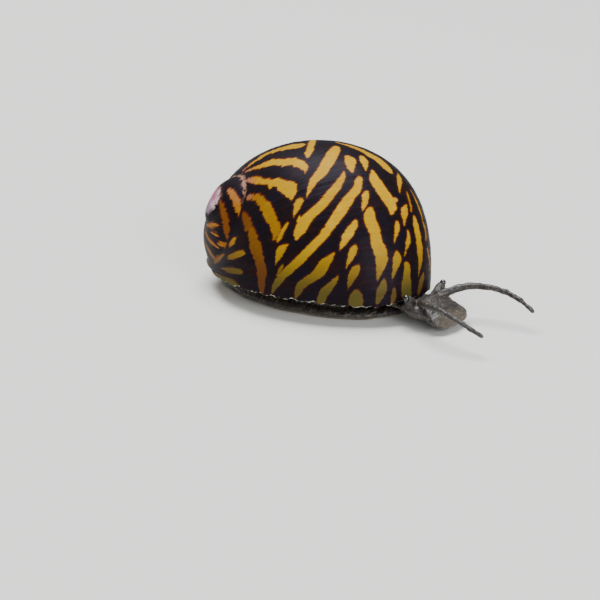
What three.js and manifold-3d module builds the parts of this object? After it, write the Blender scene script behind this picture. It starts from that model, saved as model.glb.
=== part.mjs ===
// A nerite snail, crawling, with its striped shell over its back.
// Millimetres, +Z up, the animal heads along +X and its sole lies on z = 0.
import * as THREE from 'three';
import { mergeVertices } from 'three/addons/utils/BufferGeometryUtils.js';
import Module from 'manifold-3d';

const wasm = await Module();
wasm.setup();

// Driving dimensions of the shell, whose section is given where the body whorl stands uppermost
const APEX = new THREE.Vector3(-15.0, -5.77, 9.4);
const COIL_YAW = THREE.MathUtils.degToRad(47.9);
const COIL_DIP = THREE.MathUtils.degToRad(29.2);
const WHORL_GROWTH = 2.526;
const SECTION_OUT = 5.4;
const SECTION_ALONG = 10.17;
const SECTION_HALF_WIDTH = 5.7;
const SECTION_HALF_LENGTH = 8.76;
const SECTION_LEAN = THREE.MathUtils.degToRad(-31.7);
const FLATTEN = 0.849;
const FLATTEN_YAW = THREE.MathUtils.degToRad(19.1);
const APEX_WEAR = 0.75;
const COLUMELLA_START = 3.8;
const COLUMELLA_END = 9.5;
const COLUMELLA_SLOPE = 0.05;
const AXIS_MET_FROM = 3.3;
const AXIS_MET_TO = 12.3;
const RIM_HEIGHT = 2.3;
const WALL = 1.1;
const MOUTH_DEPTH = 2.7;
const BASE_CENTRE = new THREE.Vector3(APEX.x + 9.5, APEX.y + 6.4, RIM_HEIGHT + 3.2);
const BASE_HALF_SIZES = new THREE.Vector3(10.5, 7.8, 7.0);

// Driving dimensions of the soft parts
const MIDLINE = APEX.y + 5.4;
const FOOT_BACK = APEX.x - 1.2;
const FOOT_FRONT = APEX.x + 20.2;
const FOOT_HALF_WIDTH = 6.4;
const FRONT_DROP = 0.3;
const ARCH_RISE = 0.6;
const ARCH_HALF_WIDTH = 2.9;
const ARCH_BACK = APEX.x + 14;
const ARCH_FRONT = APEX.x + 21.5;
const TENTACLE_ROOT = 0.46;
const TENTACLE_TIP = 0.2;
const EYE_RADIUS = 0.32;
const EYE_GAP = 0.2;
const EYE_STALK_ROOT = 0.62;
const EYE_STALK_TOP = 0.46;

const GAP = 0.3;
const TURN = 2 * Math.PI;
const UP = new THREE.Vector3(0, 0, 1);
const FAR = 60;

// The coil's axis, and the two directions across it that its angle is measured in
const AXIS = new THREE.Vector3(
  Math.cos(COIL_DIP) * Math.cos(COIL_YAW),
  Math.cos(COIL_DIP) * Math.sin(COIL_YAW),
  -Math.sin(COIL_DIP),
);
const ACROSS_UP = UP.clone().addScaledVector(AXIS, -AXIS.z).normalize();
const ACROSS_SIDE = new THREE.Vector3().crossVectors(AXIS, ACROSS_UP);
const FLATTEN_DIRECTION = new THREE.Vector3(-Math.sin(FLATTEN_YAW), Math.cos(FLATTEN_YAW), 0);

const finish = {
  shell: { color: 0x3a2422, roughness: 0.28, metalness: 0 },
  apex: { color: 0xcbb0b8, roughness: 0.55, metalness: 0 },
  callus: { color: 0xe6d3a4, roughness: 0.3, metalness: 0 },
  flesh: { color: 0x4a423b, roughness: 0.45, metalness: 0 },
  horn: { color: 0x6b4a44, roughness: 0.4, metalness: 0 },
  eye: { color: 0x0a0809, roughness: 0.1, metalness: 0 },
};

function point(x, y, z) {
  return new THREE.Vector3(x, y, z);
}

// Solids from rings of points, closed by a fan over each end
function loft(rings) {
  const count = rings[0].length;
  const positions = rings.flat().flatMap((p) => p.toArray());
  const faces = [];
  for (let i = 0; i + 1 < rings.length; i += 1) {
    for (let j = 0; j < count; j += 1) {
      const next = (j + 1) % count;
      const a = i * count + j;
      const b = i * count + next;
      const c = (i + 1) * count + next;
      const d = (i + 1) * count + j;
      faces.push(a, b, c, a, c, d);
    }
  }
  const last = (rings.length - 1) * count;
  for (let j = 1; j + 1 < count; j += 1) {
    faces.push(0, j + 1, j, last, last + j, last + j + 1);
  }
  const geometry = new THREE.BufferGeometry();
  geometry.setAttribute('position', new THREE.Float32BufferAttribute(positions, 3));
  geometry.setIndex(faces);
  return toSolid(geometry);
}

function signedVolume(positions, faces) {
  const corner = (k) => new THREE.Vector3().fromArray(positions, 3 * faces[k]);
  let volume = 0;
  for (let k = 0; k < faces.length; k += 3) {
    volume += corner(k).dot(corner(k + 1).cross(corner(k + 2))) / 6;
  }
  return volume;
}

function toSolid(geometry) {
  const bare = geometry.clone();
  bare.deleteAttribute('normal');
  bare.deleteAttribute('uv');
  const merged = mergeVertices(bare, 1e-5);
  const positions = merged.attributes.position.array;
  const faces = Uint32Array.from(merged.index.array);
  if (signedVolume(positions, faces) < 0) {
    faces.reverse();
  }
  const mesh = new wasm.Mesh({ numProp: 3, vertProperties: positions, triVerts: faces });
  return new wasm.Manifold(mesh);
}

function largest(solid) {
  return solid.decompose().reduce((best, piece) => (piece.volume() > best.volume() ? piece : best));
}

function toGeometry(solid) {
  const mesh = largest(solid).getMesh();
  const geometry = new THREE.BufferGeometry();
  geometry.setAttribute('position', new THREE.Float32BufferAttribute(mesh.vertProperties, 3));
  geometry.setIndex(Array.from(mesh.triVerts));
  geometry.computeVertexNormals();
  return geometry;
}

function union(solids) {
  return solids.reduce((sum, solid) => sum.add(solid));
}

function block(low, high) {
  const size = new THREE.Vector3().subVectors(high, low);
  const geometry = new THREE.BoxGeometry(size.x, size.y, size.z);
  const middle = new THREE.Vector3().addVectors(low, high).multiplyScalar(0.5);
  return toSolid(geometry.translate(middle.x, middle.y, middle.z));
}

function layer(low, high) {
  return block(point(-FAR, -FAR, low), point(FAR, FAR, high));
}

function ball(centre, halfSizes, across = 20, around = 12) {
  const geometry = new THREE.SphereGeometry(1, across, around);
  geometry.scale(halfSizes.x, halfSizes.y, halfSizes.z);
  return toSolid(geometry.translate(centre.x, centre.y, centre.z));
}

// A place in the coil from its angle, its distance off the axis and its distance along it
function coilPoint(angle, out, along) {
  const place = new THREE.Vector3()
    .addScaledVector(ACROSS_UP, out * Math.cos(angle))
    .addScaledVector(ACROSS_SIDE, out * Math.sin(angle))
    .addScaledVector(AXIS, along);
  place.addScaledVector(FLATTEN_DIRECTION, (FLATTEN - 1) * place.dot(FLATTEN_DIRECTION));
  return place.add(APEX);
}

function coilScale(angle) {
  return WHORL_GROWTH ** (angle / TURN);
}

// One section of the coil, grown outwards or, where grow is negative, inwards
function coilRing(angle, grow, sides) {
  const scale = coilScale(angle);
  const halfWidth = SECTION_HALF_WIDTH * scale + grow;
  const halfLength = SECTION_HALF_LENGTH * scale + grow;
  const ring = [];
  for (let i = 0; i < sides; i += 1) {
    const t = (TURN * i) / sides;
    const wide = halfWidth * Math.cos(t);
    const long = halfLength * Math.sin(t);
    const out = SECTION_OUT * scale + wide * Math.cos(SECTION_LEAN) - long * Math.sin(SECTION_LEAN);
    const along = SECTION_ALONG * scale + wide * Math.sin(SECTION_LEAN) + long * Math.cos(SECTION_LEAN);
    ring.push(coilPoint(angle, Math.max(out, 0), along));
  }
  return ring;
}

// The column round the axis that joins the whorls where their sections meet it
function columella(from, to, grow) {
  const sides = 12;
  const start = (grow > 0 ? AXIS_MET_FROM : COLUMELLA_START) * coilScale(from) - grow;
  const end = (grow > 0 ? AXIS_MET_TO : COLUMELLA_END) * coilScale(to) + grow;
  const rings = [start, end].map((along) => {
    const ring = [];
    for (let i = 0; i < sides; i += 1) {
      ring.push(coilPoint((TURN * i) / sides, COLUMELLA_SLOPE * along + grow, along));
    }
    return ring;
  });
  return loft(rings);
}

// A stretch of the coil, joined from spans of under half a turn so that none meets itself
function coil(from, to, grow, sides, stepsPerTurn) {
  const spans = Math.ceil((to - from) / (TURN / 3));
  const pieces = [columella(from, to, Math.max(grow, 0))];
  for (let k = 0; k < spans; k += 1) {
    const start = from + ((to - from) * k) / spans;
    const end = from + ((to - from) * (k + 1)) / spans;
    const steps = Math.max(2, Math.round(((end - start) / TURN) * stepsPerTurn));
    const rings = [];
    for (let i = 0; i <= steps; i += 1) {
      rings.push(coilRing(start + ((end - start) * i) / steps, grow, sides));
    }
    pieces.push(loft(rings));
  }
  return union(pieces);
}

// Height of the shell's rim over the floor: lower in front, with the arch that the head comes out under
function rimHeight(x, y) {
  const forward = THREE.MathUtils.smoothstep(x, ARCH_BACK, ARCH_FRONT);
  const across = Math.exp(-(((y - MIDLINE) / ARCH_HALF_WIDTH) ** 4));
  return RIM_HEIGHT + forward * (ARCH_RISE * across - FRONT_DROP);
}

// All the space under the rim, as a grid of heights a little wider than the shell
function underRim() {
  const back = APEX.x - 6;
  const front = APEX.x + 28;
  const halfWidth = 13;
  const stations = 22;
  const columns = 26;
  const rings = [];
  for (let i = 0; i <= stations; i += 1) {
    const x = THREE.MathUtils.lerp(back, front, i / stations);
    const ring = [];
    for (let j = 0; j <= columns; j += 1) {
      const y = MIDLINE + halfWidth * ((2 * j) / columns - 1);
      ring.push(point(x, y, rimHeight(x, y)));
    }
    ring.push(point(x, MIDLINE + halfWidth, -FAR), point(x, MIDLINE - halfWidth, -FAR));
    rings.push(ring);
  }
  return loft(rings);
}

// The half of space in front and to the right of the deck's straight edge, moved by the given inset
const DECK_EDGE_BACK = new THREE.Vector2(APEX.x + 4.8, APEX.y - 1.6);
const DECK_EDGE_FRONT = new THREE.Vector2(APEX.x + 14.6, APEX.y + 9.1);
const DECK_EDGE_YAW = new THREE.Vector2().subVectors(DECK_EDGE_FRONT, DECK_EDGE_BACK).angle();

function frontOfDeck(inset) {
  const geometry = new THREE.BoxGeometry(FAR, FAR, FAR);
  geometry.translate(0, -FAR / 2 - inset, 0);
  geometry.rotateZ(DECK_EDGE_YAW);
  geometry.translate(DECK_EDGE_BACK.x, DECK_EDGE_BACK.y, 0);
  return toSolid(geometry);
}

// Rings: a level oval, and an upright oval across the animal's length
function levelOval(centre, halfX, halfY, sides = 36) {
  const ring = [];
  for (let i = 0; i < sides; i += 1) {
    const t = (TURN * i) / sides;
    ring.push(point(centre.x + halfX * Math.cos(t), centre.y + halfY * Math.sin(t), centre.z));
  }
  return ring;
}

function uprightOval(centre, halfY, halfZ, sides = 24) {
  const ring = [];
  for (let i = 0; i < sides; i += 1) {
    const t = (TURN * i) / sides;
    ring.push(point(centre.x, centre.y + halfY * Math.cos(t), centre.z + halfZ * Math.sin(t)));
  }
  return ring;
}

// A round limb along a curve, tapering evenly from root to tip between two fractions of its length
function limb(curve, rootRadius, tipRadius, from, to, steps, sides = 10) {
  const rings = [];
  for (let i = 0; i <= steps; i += 1) {
    const u = from + ((to - from) * i) / steps;
    const centre = curve.getPointAt(u);
    const along = curve.getTangentAt(u);
    const side = new THREE.Vector3().crossVectors(UP, along).normalize();
    const over = new THREE.Vector3().crossVectors(along, side);
    const radius = rootRadius + (tipRadius - rootRadius) * u;
    const ring = [];
    for (let j = 0; j < sides; j += 1) {
      const t = (TURN * j) / sides;
      const offset = side.clone().multiplyScalar(radius * Math.cos(t));
      ring.push(centre.clone().add(offset).addScaledVector(over, radius * Math.sin(t)));
    }
    rings.push(ring);
  }
  return loft(rings);
}

// The shell: body whorl, the turn before it, and the worn tip
const BODY_START = -TURN / 2;
const BODY_END = 0.55 * TURN;
const OPENING_START = 0.1 * TURN;
const SPIRE_START = -1.5 * TURN;
const APEX_START = -2.4 * TURN;
const TIP_START = -3 * TURN;
const JOINT_TURN = 0.055;

// The body whorl, with the rounded base that closes its left flank beside the coil's axis
const bodyCoil = coil(BODY_START, BODY_END, 0, 32, 40).add(ball(BASE_CENTRE, BASE_HALF_SIZES, 44, 26));
const spireGrown = coil(TIP_START, BODY_START + JOINT_TURN, GAP, 22, 26);
const belowRim = underRim();
const openingInside = coil(OPENING_START, BODY_END, -WALL, 28, 36);
const opening = openingInside
  .intersect(layer(-FAR, RIM_HEIGHT + MOUTH_DEPTH))
  .intersect(frontOfDeck(0));

// The flat callus deck that closes the underside behind the opening, toothed on its straight edge
const DECK_CENTRE = new THREE.Vector2(APEX.x + 10, APEX.y + 4.9);
const DECK_HALF_X = 11.3;
const DECK_HALF_Y = 6.6;
const DECK_THICKNESS = 1.3;
const TOOTH_COUNT = 6;
const TOOTH_RADIUS = 0.42;
const TEETH_FROM = 0.38;
const TEETH_TO = 0.68;

function deckSlab(grow, bottom, top) {
  const rings = [bottom, top].map((z) => (
    levelOval(point(DECK_CENTRE.x, DECK_CENTRE.y, z), DECK_HALF_X + grow, DECK_HALF_Y + grow, 44)
  ));
  return loft(rings).subtract(frontOfDeck(grow));
}

// The teeth are largest near the middle of their row
function deckTeeth() {
  const teeth = [];
  for (let i = 0; i < TOOTH_COUNT; i += 1) {
    const along = i / (TOOTH_COUNT - 1);
    const u = THREE.MathUtils.lerp(TEETH_FROM, TEETH_TO, along);
    const place = new THREE.Vector2().lerpVectors(DECK_EDGE_BACK, DECK_EDGE_FRONT, u);
    const radius = TOOTH_RADIUS * (1 - 0.3 * Math.abs(2 * along - 0.8));
    teeth.push(ball(point(place.x, place.y, RIM_HEIGHT + radius), point(radius, radius, radius), 8, 6));
  }
  return union(teeth);
}

function shellDeck() {
  return deckSlab(0, RIM_HEIGHT, RIM_HEIGHT + DECK_THICKNESS).add(deckTeeth());
}

const deckPocket = deckSlab(GAP, -FAR, RIM_HEIGHT + DECK_THICKNESS + GAP);

function shellBodyWhorl() {
  return bodyCoil.subtract(spireGrown).subtract(belowRim).subtract(opening).subtract(deckPocket);
}

function shellSpire() {
  const spire = coil(SPIRE_START, BODY_START, 0, 22, 26);
  const apexGrown = coil(TIP_START, SPIRE_START + 2 * JOINT_TURN, GAP, 14, 16);
  return spire.subtract(apexGrown).subtract(belowRim).subtract(opening).subtract(deckPocket);
}

function shellApex() {
  const worn = coilPoint(0, 0, APEX_WEAR);
  const cut = new THREE.BoxGeometry(FAR, FAR, FAR).translate(0, 0, FAR / 2);
  cut.applyQuaternion(new THREE.Quaternion().setFromUnitVectors(UP, AXIS.clone().negate()));
  cut.translate(worn.x, worn.y, worn.z);
  return coil(APEX_START, SPIRE_START, 0, 14, 16).subtract(toSolid(cut));
}

// The foot: a flat sole, its low upper side, and the stalk that goes up into the shell
const FOOT_MIDDLE = (FOOT_BACK + FOOT_FRONT) / 2;
const FOOT_HALF_LENGTH = (FOOT_FRONT - FOOT_BACK) / 2;
const STALK_X = APEX.x + 13.2;
const STALK_Y = APEX.y + 1.6;
const STALK_HALF_X = 3.3;
const STALK_HALF_Y = 2.6;
const STALK_TOP = RIM_HEIGHT + 0.6;
const FOOT_CUTS = [APEX.x + 5, APEX.x + 16.8];

// Each level of the foot: its height, its size against the sole's, and how far it leans to the stalk
const FOOT_LEVELS = [
  [0, 0.96, 0],
  [0.2, 0.99, 0],
  [0.5, 1, 0],
  [0.8, 0.95, 0.03],
  [1.05, 0.8, 0.15],
  [1.2, 0.58, 0.45],
  [1.35, 0.46, 0.65],
  [1.6, 0.4, 0.9],
];

function footWhole() {
  const rings = FOOT_LEVELS.map(([z, size, lean]) => {
    const x = THREE.MathUtils.lerp(FOOT_MIDDLE, STALK_X, lean);
    const y = THREE.MathUtils.lerp(MIDLINE, STALK_Y, lean);
    return levelOval(point(x, y, z), FOOT_HALF_LENGTH * size, FOOT_HALF_WIDTH * size);
  });
  rings.push(levelOval(point(STALK_X, STALK_Y, STALK_TOP), STALK_HALF_X, STALK_HALF_Y));
  return loft(rings);
}

function footBetween(back, front) {
  return footWhole().intersect(block(point(back, -FAR, -FAR), point(front, FAR, FAR)));
}

// The mantle: the flesh that lines the shell's opening, a little inside the lip
const MANTLE_BOTTOM = RIM_HEIGHT + 0.9;
const MANTLE_FROM_DECK = 0.9;

function mantle() {
  const inside = coil(OPENING_START, BODY_END, -WALL - GAP, 28, 36);
  return inside
    .intersect(layer(MANTLE_BOTTOM, RIM_HEIGHT + MOUTH_DEPTH - GAP))
    .intersect(frontOfDeck(MANTLE_FROM_DECK))
    .subtract(spireGrown)
    .subtract(neck(GAP));
}

// The neck and head: upright ovals along the midline, each with its place, half sizes and height
const NECK_STATIONS = [
  [17.2, 2.2, 0.62, 2.08],
  [19.6, 2.35, 0.52, 1.86],
  [21.4, 2.25, 0.48, 1.78],
];
const HEAD_STATIONS = [
  [21.7, 2.3, 0.49, 1.77],
  [22.25, 2.5, 0.54, 1.74],
  [22.85, 2.7, 0.86, 1.76],
  [23.5, 2.84, 1.1, 1.76],
  [24.1, 2.76, 1.1, 1.7],
  [24.6, 2.55, 1.0, 1.6],
];
const SNOUT_STATIONS = [
  [24.9, 2.45, 0.97, 1.5],
  [25.5, 2.65, 0.92, 1.3],
  [26.1, 2.55, 0.72, 1.1],
  [26.6, 2.1, 0.46, 0.95],
  [26.9, 1.3, 0.2, 0.9],
];

function alongMidline(stations, grow) {
  return loft(stations.map(([x, halfY, halfZ, z]) => (
    uprightOval(point(APEX.x + x, MIDLINE, z), halfY + grow, halfZ + grow)
  )));
}

function neck(grow) {
  return alongMidline(NECK_STATIONS, grow);
}

// The snout ends in two broad lips with the line of the mouth between them, facing the ground
const MOUTH = point(APEX.x + 26.35, MIDLINE, 0.72);
const UPPER_LIP = { back: 0, up: 0.28, halfSizes: point(0.6, 1.75, 0.26) };
const LOWER_LIP = { back: 0.55, up: -0.14, halfSizes: point(0.5, 1.3, 0.24) };
const MOUTH_LINE = { back: 0, up: 0, halfSizes: point(0.62, 1.15, 0.11) };

function atMouth({ back, up, halfSizes }) {
  return ball(point(MOUTH.x - back, MOUTH.y, MOUTH.z + up), halfSizes, 20, 8);
}

function snout() {
  return alongMidline(SNOUT_STATIONS, 0)
    .add(atMouth(UPPER_LIP))
    .add(atMouth(LOWER_LIP))
    .subtract(atMouth(MOUTH_LINE));
}

// Each tentacle leaves the side of the head, swings forward and sinks towards its tip:
// how far it has come forward, how far out from the midline, and its height
const TENTACLE_ROUTE = [
  [23.85, 1.7, 2.6],
  [25.6, 3.4, 3.25],
  [28.1, 4.3, 3.35],
  [30.6, 4.55, 2.8],
  [32.7, 4.25, 1.9],
];

function tentacleCurve(side) {
  return new THREE.CatmullRomCurve3(TENTACLE_ROUTE.map(([forward, out, height]) => (
    point(APEX.x + forward, MIDLINE + out * side, height)
  )));
}

const TENTACLE_LENGTHS = { root: [0, 0.34], middle: [0.34, 0.68], tip: [0.68, 1] };

function tentacle(side, [from, to]) {
  const curve = tentacleCurve(side);
  const end = to < 1 ? to - GAP / curve.getLength() : to;
  return limb(curve, TENTACLE_ROOT, TENTACLE_TIP, from, end, 7);
}

const EYE_STALK_X = APEX.x + 23.0;
const EYE_STALK_FOOT = { out: 1.75, height: 2.0 };
const EYE_STALK_HEAD = { out: 2.95, height: 3.2 };

function eyeStalkCurve(side) {
  const [foot, head] = [EYE_STALK_FOOT, EYE_STALK_HEAD].map(({ out, height }) => (
    point(EYE_STALK_X, MIDLINE + out * side, height)
  ));
  return new THREE.LineCurve3(foot, head);
}

function eyeCentre(side) {
  return eyeStalkCurve(side).getPoint(1);
}

function eyeBall(side, grow) {
  const radius = EYE_RADIUS + grow;
  return ball(eyeCentre(side), point(radius, radius, radius), 12, 10);
}

function eyeStalk(side) {
  return limb(eyeStalkCurve(side), EYE_STALK_ROOT, EYE_STALK_TOP, 0, 1, 3, 12);
}

// The hard lid carried on the back of the foot, a half round with one straighter edge
const OPERCULUM_CENTRE = point(APEX.x + 2.2, MIDLINE - 0.4, 1.45);
const OPERCULUM_HALF_X = 3.2;
const OPERCULUM_HALF_Y = 3.1;
const OPERCULUM_STRAIGHT_SIDE = 0.62;
const OPERCULUM_LEVELS = [
  [0, 0.9],
  [0.2, 1],
  [0.36, 0.93],
  [0.5, 0.5],
];

function operculumRing(height, size) {
  const ring = [];
  const sides = 28;
  for (let i = 0; i < sides; i += 1) {
    const t = (TURN * i) / sides;
    const reach = Math.sin(t) > 0 ? OPERCULUM_STRAIGHT_SIDE : 1;
    const x = OPERCULUM_CENTRE.x + size * OPERCULUM_HALF_X * Math.cos(t);
    const y = OPERCULUM_CENTRE.y + size * OPERCULUM_HALF_Y * reach * Math.sin(t);
    ring.push(point(x, y, OPERCULUM_CENTRE.z + height));
  }
  return ring;
}

function operculum() {
  return loft(OPERCULUM_LEVELS.map(([height, size]) => operculumRing(height, size)));
}

const snail = new THREE.Group();

function add(name, solid, look) {
  const mesh = new THREE.Mesh(toGeometry(solid), new THREE.MeshStandardMaterial(look));
  mesh.name = name;
  snail.add(mesh);
}

add('shell_body_whorl', shellBodyWhorl(), finish.shell);
add('shell_spire', shellSpire(), finish.shell);
add('shell_apex', shellApex(), finish.apex);
add('shell_deck', shellDeck(), finish.callus);
add('mantle', mantle(), finish.flesh);
add('foot_tail', footBetween(-FAR, FOOT_CUTS[0]), finish.flesh);
add('foot_middle', footBetween(FOOT_CUTS[0] + GAP, FOOT_CUTS[1]), finish.flesh);
add('foot_front', footBetween(FOOT_CUTS[1] + GAP, FAR), finish.flesh);
add('operculum', operculum(), finish.horn);
add('neck', neck(0), finish.flesh);
add('head', alongMidline(HEAD_STATIONS, 0), finish.flesh);
add('snout', snout(), finish.flesh);

const headGrown = alongMidline(HEAD_STATIONS, GAP);
for (const [word, side] of [['left', 1], ['right', -1]]) {
  const stalk = eyeStalk(side).subtract(headGrown);
  for (const [part, length] of Object.entries(TENTACLE_LENGTHS)) {
    const rest = tentacle(side, length).subtract(headGrown);
    add(`tentacle_${word}_${part}`, rest, finish.flesh);
  }
  add(`eye_stalk_${word}`, stalk.subtract(eyeBall(side, EYE_GAP)), finish.flesh);
  add(`eye_${word}`, eyeBall(side, 0), finish.eye);
}

export default snail;
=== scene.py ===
# A nerite snail with its striped shell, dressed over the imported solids.
# Shapes are worked out in millimetres in the frame of the solids and turned into metres as meshes are made.
import math

import bpy
import numpy as np
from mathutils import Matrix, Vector


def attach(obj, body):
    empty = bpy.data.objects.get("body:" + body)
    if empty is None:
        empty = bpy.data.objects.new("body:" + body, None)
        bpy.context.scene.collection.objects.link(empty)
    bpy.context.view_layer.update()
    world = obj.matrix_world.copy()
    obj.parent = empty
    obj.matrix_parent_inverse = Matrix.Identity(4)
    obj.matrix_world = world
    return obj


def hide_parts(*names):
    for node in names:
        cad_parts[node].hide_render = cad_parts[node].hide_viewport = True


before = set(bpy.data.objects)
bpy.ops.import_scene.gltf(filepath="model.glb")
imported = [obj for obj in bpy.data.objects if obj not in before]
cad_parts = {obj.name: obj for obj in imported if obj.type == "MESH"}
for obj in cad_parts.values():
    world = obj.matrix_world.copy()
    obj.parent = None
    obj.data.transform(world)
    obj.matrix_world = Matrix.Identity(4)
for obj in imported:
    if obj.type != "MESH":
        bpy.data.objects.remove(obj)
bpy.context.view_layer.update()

MM = 0.001
TURN = 2 * math.pi
rng = np.random.default_rng(20)

# Driving dimensions of the shell, the same as the solids'
APEX = np.array([-15.0, -5.77, 9.4])
COIL_YAW = math.radians(47.9)
COIL_DIP = math.radians(29.2)
WHORL_GROWTH = 2.526
SECTION_OUT = 5.4
SECTION_ALONG = 10.17
SECTION_HALF_WIDTH = 5.7
SECTION_HALF_LENGTH = 8.76
SECTION_LEAN = math.radians(-31.7)
FLATTEN = 0.849
FLATTEN_YAW = math.radians(19.1)
APEX_WEAR = 0.75
RIM_HEIGHT = 2.3
BASE_CENTRE = np.array([APEX[0] + 9.5, APEX[1] + 6.4, RIM_HEIGHT + 3.2])
BASE_HALF_SIZES = np.array([10.5, 7.8, 7.0])
TIP_START = -3 * TURN
BODY_END = 0.55 * TURN
SUTURE_ROUNDING = 0.16
BASE_ROUNDING = 1.1
WEAR_ROUNDING = 0.25
WHORLS = range(-3, 2)
FAR = 1e3
TINY_SLOPE = 1e-6
TINY_LENGTH = 1e-9

# Driving dimensions of the soft parts, the same as the solids'
MIDLINE = APEX[1] + 5.4
FRONT_DROP = 0.3
ARCH_RISE = 0.6
ARCH_HALF_WIDTH = 2.9
ARCH_BACK = APEX[0] + 14
ARCH_FRONT = APEX[0] + 21.5

AXIS = np.array([
    math.cos(COIL_DIP) * math.cos(COIL_YAW),
    math.cos(COIL_DIP) * math.sin(COIL_YAW),
    -math.sin(COIL_DIP),
])
ACROSS_UP = np.array([0, 0, 1.0]) - AXIS * AXIS[2]
ACROSS_UP /= np.linalg.norm(ACROSS_UP)
ACROSS_SIDE = np.cross(AXIS, ACROSS_UP)
FLATTEN_DIRECTION = np.array([-math.sin(FLATTEN_YAW), math.cos(FLATTEN_YAW), 0.0])

# The camera, worked out first because the shell's marks are placed through it

PHOTO_SIZE = 600
LENS = 121.2
SENSOR = 36.0
CAMERA_YAW = math.radians(39.27)
CAMERA_RISE = math.radians(19.32)
CAMERA_DISTANCE = 200.0
AIM_RIGHT_OF_APEX = 9.340
AIM_BELOW_APEX = 10.199

camera_right = np.array([math.cos(CAMERA_YAW), math.sin(CAMERA_YAW), 0.0])
camera_ahead = np.array([
    -math.sin(CAMERA_YAW) * math.cos(CAMERA_RISE),
    math.cos(CAMERA_YAW) * math.cos(CAMERA_RISE),
    -math.sin(CAMERA_RISE),
])
camera_up = np.cross(camera_right, camera_ahead)
camera_aim = APEX + AIM_RIGHT_OF_APEX * camera_right - AIM_BELOW_APEX * camera_up
camera_place = camera_aim - CAMERA_DISTANCE * camera_ahead
CAMERA_FOCAL = LENS / SENSOR * PHOTO_SIZE


def smoothstep(x, low, high):
    t = np.clip((x - low) / (high - low), 0, 1)
    return t * t * (3 - 2 * t)


def smooth_min(a, b, rounding):
    """The lower of two distances, with the crease between them rounded."""
    h = np.clip(0.5 + 0.5 * (b - a) / rounding, 0, 1)
    return b + (a - b) * h - rounding * h * (1 - h)


# The coil: a place's angle, distance off the axis and distance along it, and the whorl it lies on

def coil_place(points):
    q = points - APEX
    q = q + (1 / FLATTEN - 1) * (q @ FLATTEN_DIRECTION)[..., None] * FLATTEN_DIRECTION
    up = q @ ACROSS_UP
    side = q @ ACROSS_SIDE
    return np.hypot(up, side), q @ AXIS, np.arctan2(side, up)


def coil_point(angle, out, along):
    up = (out * np.cos(angle))[..., None] * ACROSS_UP
    side = (out * np.sin(angle))[..., None] * ACROSS_SIDE
    q = up + side + along[..., None] * AXIS
    q = q + (FLATTEN - 1) * (q @ FLATTEN_DIRECTION)[..., None] * FLATTEN_DIRECTION
    return q + APEX


def section_point(angle, t):
    """The point of the whorl's surface at an angle round the coil and a place round its section."""
    scale = WHORL_GROWTH ** (angle / TURN)
    wide = SECTION_HALF_WIDTH * np.cos(t)
    long = SECTION_HALF_LENGTH * np.sin(t)
    out = SECTION_OUT + wide * math.cos(SECTION_LEAN) - long * math.sin(SECTION_LEAN)
    along = SECTION_ALONG + wide * math.sin(SECTION_LEAN) + long * math.cos(SECTION_LEAN)
    return coil_point(angle, out * scale, along * scale)


def whorl_distance(out, along, angle):
    """About how far a place lies outside one whorl, and its place round the whorl's section."""
    scale = WHORL_GROWTH ** (angle / TURN)
    o = out / scale - SECTION_OUT
    a = along / scale - SECTION_ALONG
    wide = o * math.cos(SECTION_LEAN) + a * math.sin(SECTION_LEAN)
    long = -o * math.sin(SECTION_LEAN) + a * math.cos(SECTION_LEAN)
    r = np.hypot(wide / SECTION_HALF_WIDTH, long / SECTION_HALF_LENGTH)
    slope = np.hypot(wide / SECTION_HALF_WIDTH**2, long / SECTION_HALF_LENGTH**2)
    t = np.arctan2(long / SECTION_HALF_LENGTH, wide / SECTION_HALF_WIDTH)
    return scale * r * (r - 1) / np.maximum(slope, TINY_SLOPE), t


def whorls(points):
    """For each whorl, how far places lie outside it, their angle on it and their place round its section."""
    out, along, turn = coil_place(points)
    for whorl in WHORLS:
        angle = turn + TURN * whorl
        distance, section = whorl_distance(out, along, angle)
        yield np.where((angle < TIP_START) | (angle > BODY_END), FAR, distance), angle, section


def coil_distance(points):
    """The distance outside the coil, with the angle and section place of the nearest whorl."""
    best, total = FAR, FAR
    angle, section = 0.0, 0.0
    for distance, here, t in whorls(points):
        nearer = distance < best
        best = np.where(nearer, distance, best)
        angle = np.where(nearer, here, angle)
        section = np.where(nearer, t, section)
        total = smooth_min(total, distance, SUTURE_ROUNDING)
    return total, angle, section


def base_distance(points):
    q = (points - BASE_CENTRE) / BASE_HALF_SIZES
    r = np.linalg.norm(q, axis=-1)
    slope = np.linalg.norm(q / BASE_HALF_SIZES, axis=-1)
    return r * (r - 1) / np.maximum(slope, TINY_SLOPE)


def shell_distance(points):
    coil, angle, section = coil_distance(points)
    worn = APEX_WEAR - (points - APEX) @ AXIS
    solid = smooth_min(coil, base_distance(points), BASE_ROUNDING)
    return -smooth_min(-solid, -worn, WEAR_ROUNDING), angle, section


# Small chips along the lip: their depth, and two waves over the ground that set where they lie
CHIP_DEPTH = 0.2
CHIP_MEAN = 0.3
CHIP_SLANT = 0.7
CHIP_RATES = (1.45, 2.35)
CHIP_START = 0.7


def rim_height(x, y):
    """The height of the lip, with its arch over the head and the small chips broken out of its edge."""
    forward = smoothstep(x, ARCH_BACK, ARCH_FRONT)
    across = np.exp(-(((y - MIDLINE) / ARCH_HALF_WIDTH) ** 4))
    place = x + CHIP_SLANT * y
    chips = np.abs(np.sin(place * CHIP_RATES[0]) * np.sin(place * CHIP_RATES[1] + CHIP_START))
    return RIM_HEIGHT + forward * (ARCH_RISE * across - FRONT_DROP) + CHIP_DEPTH * (chips - CHIP_MEAN)


SLOPE_STEP = 0.02
SETTLE_ROUNDS = 3


def unit(vectors):
    return vectors / np.maximum(np.linalg.norm(vectors, axis=-1, keepdims=True), TINY_LENGTH)


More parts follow.
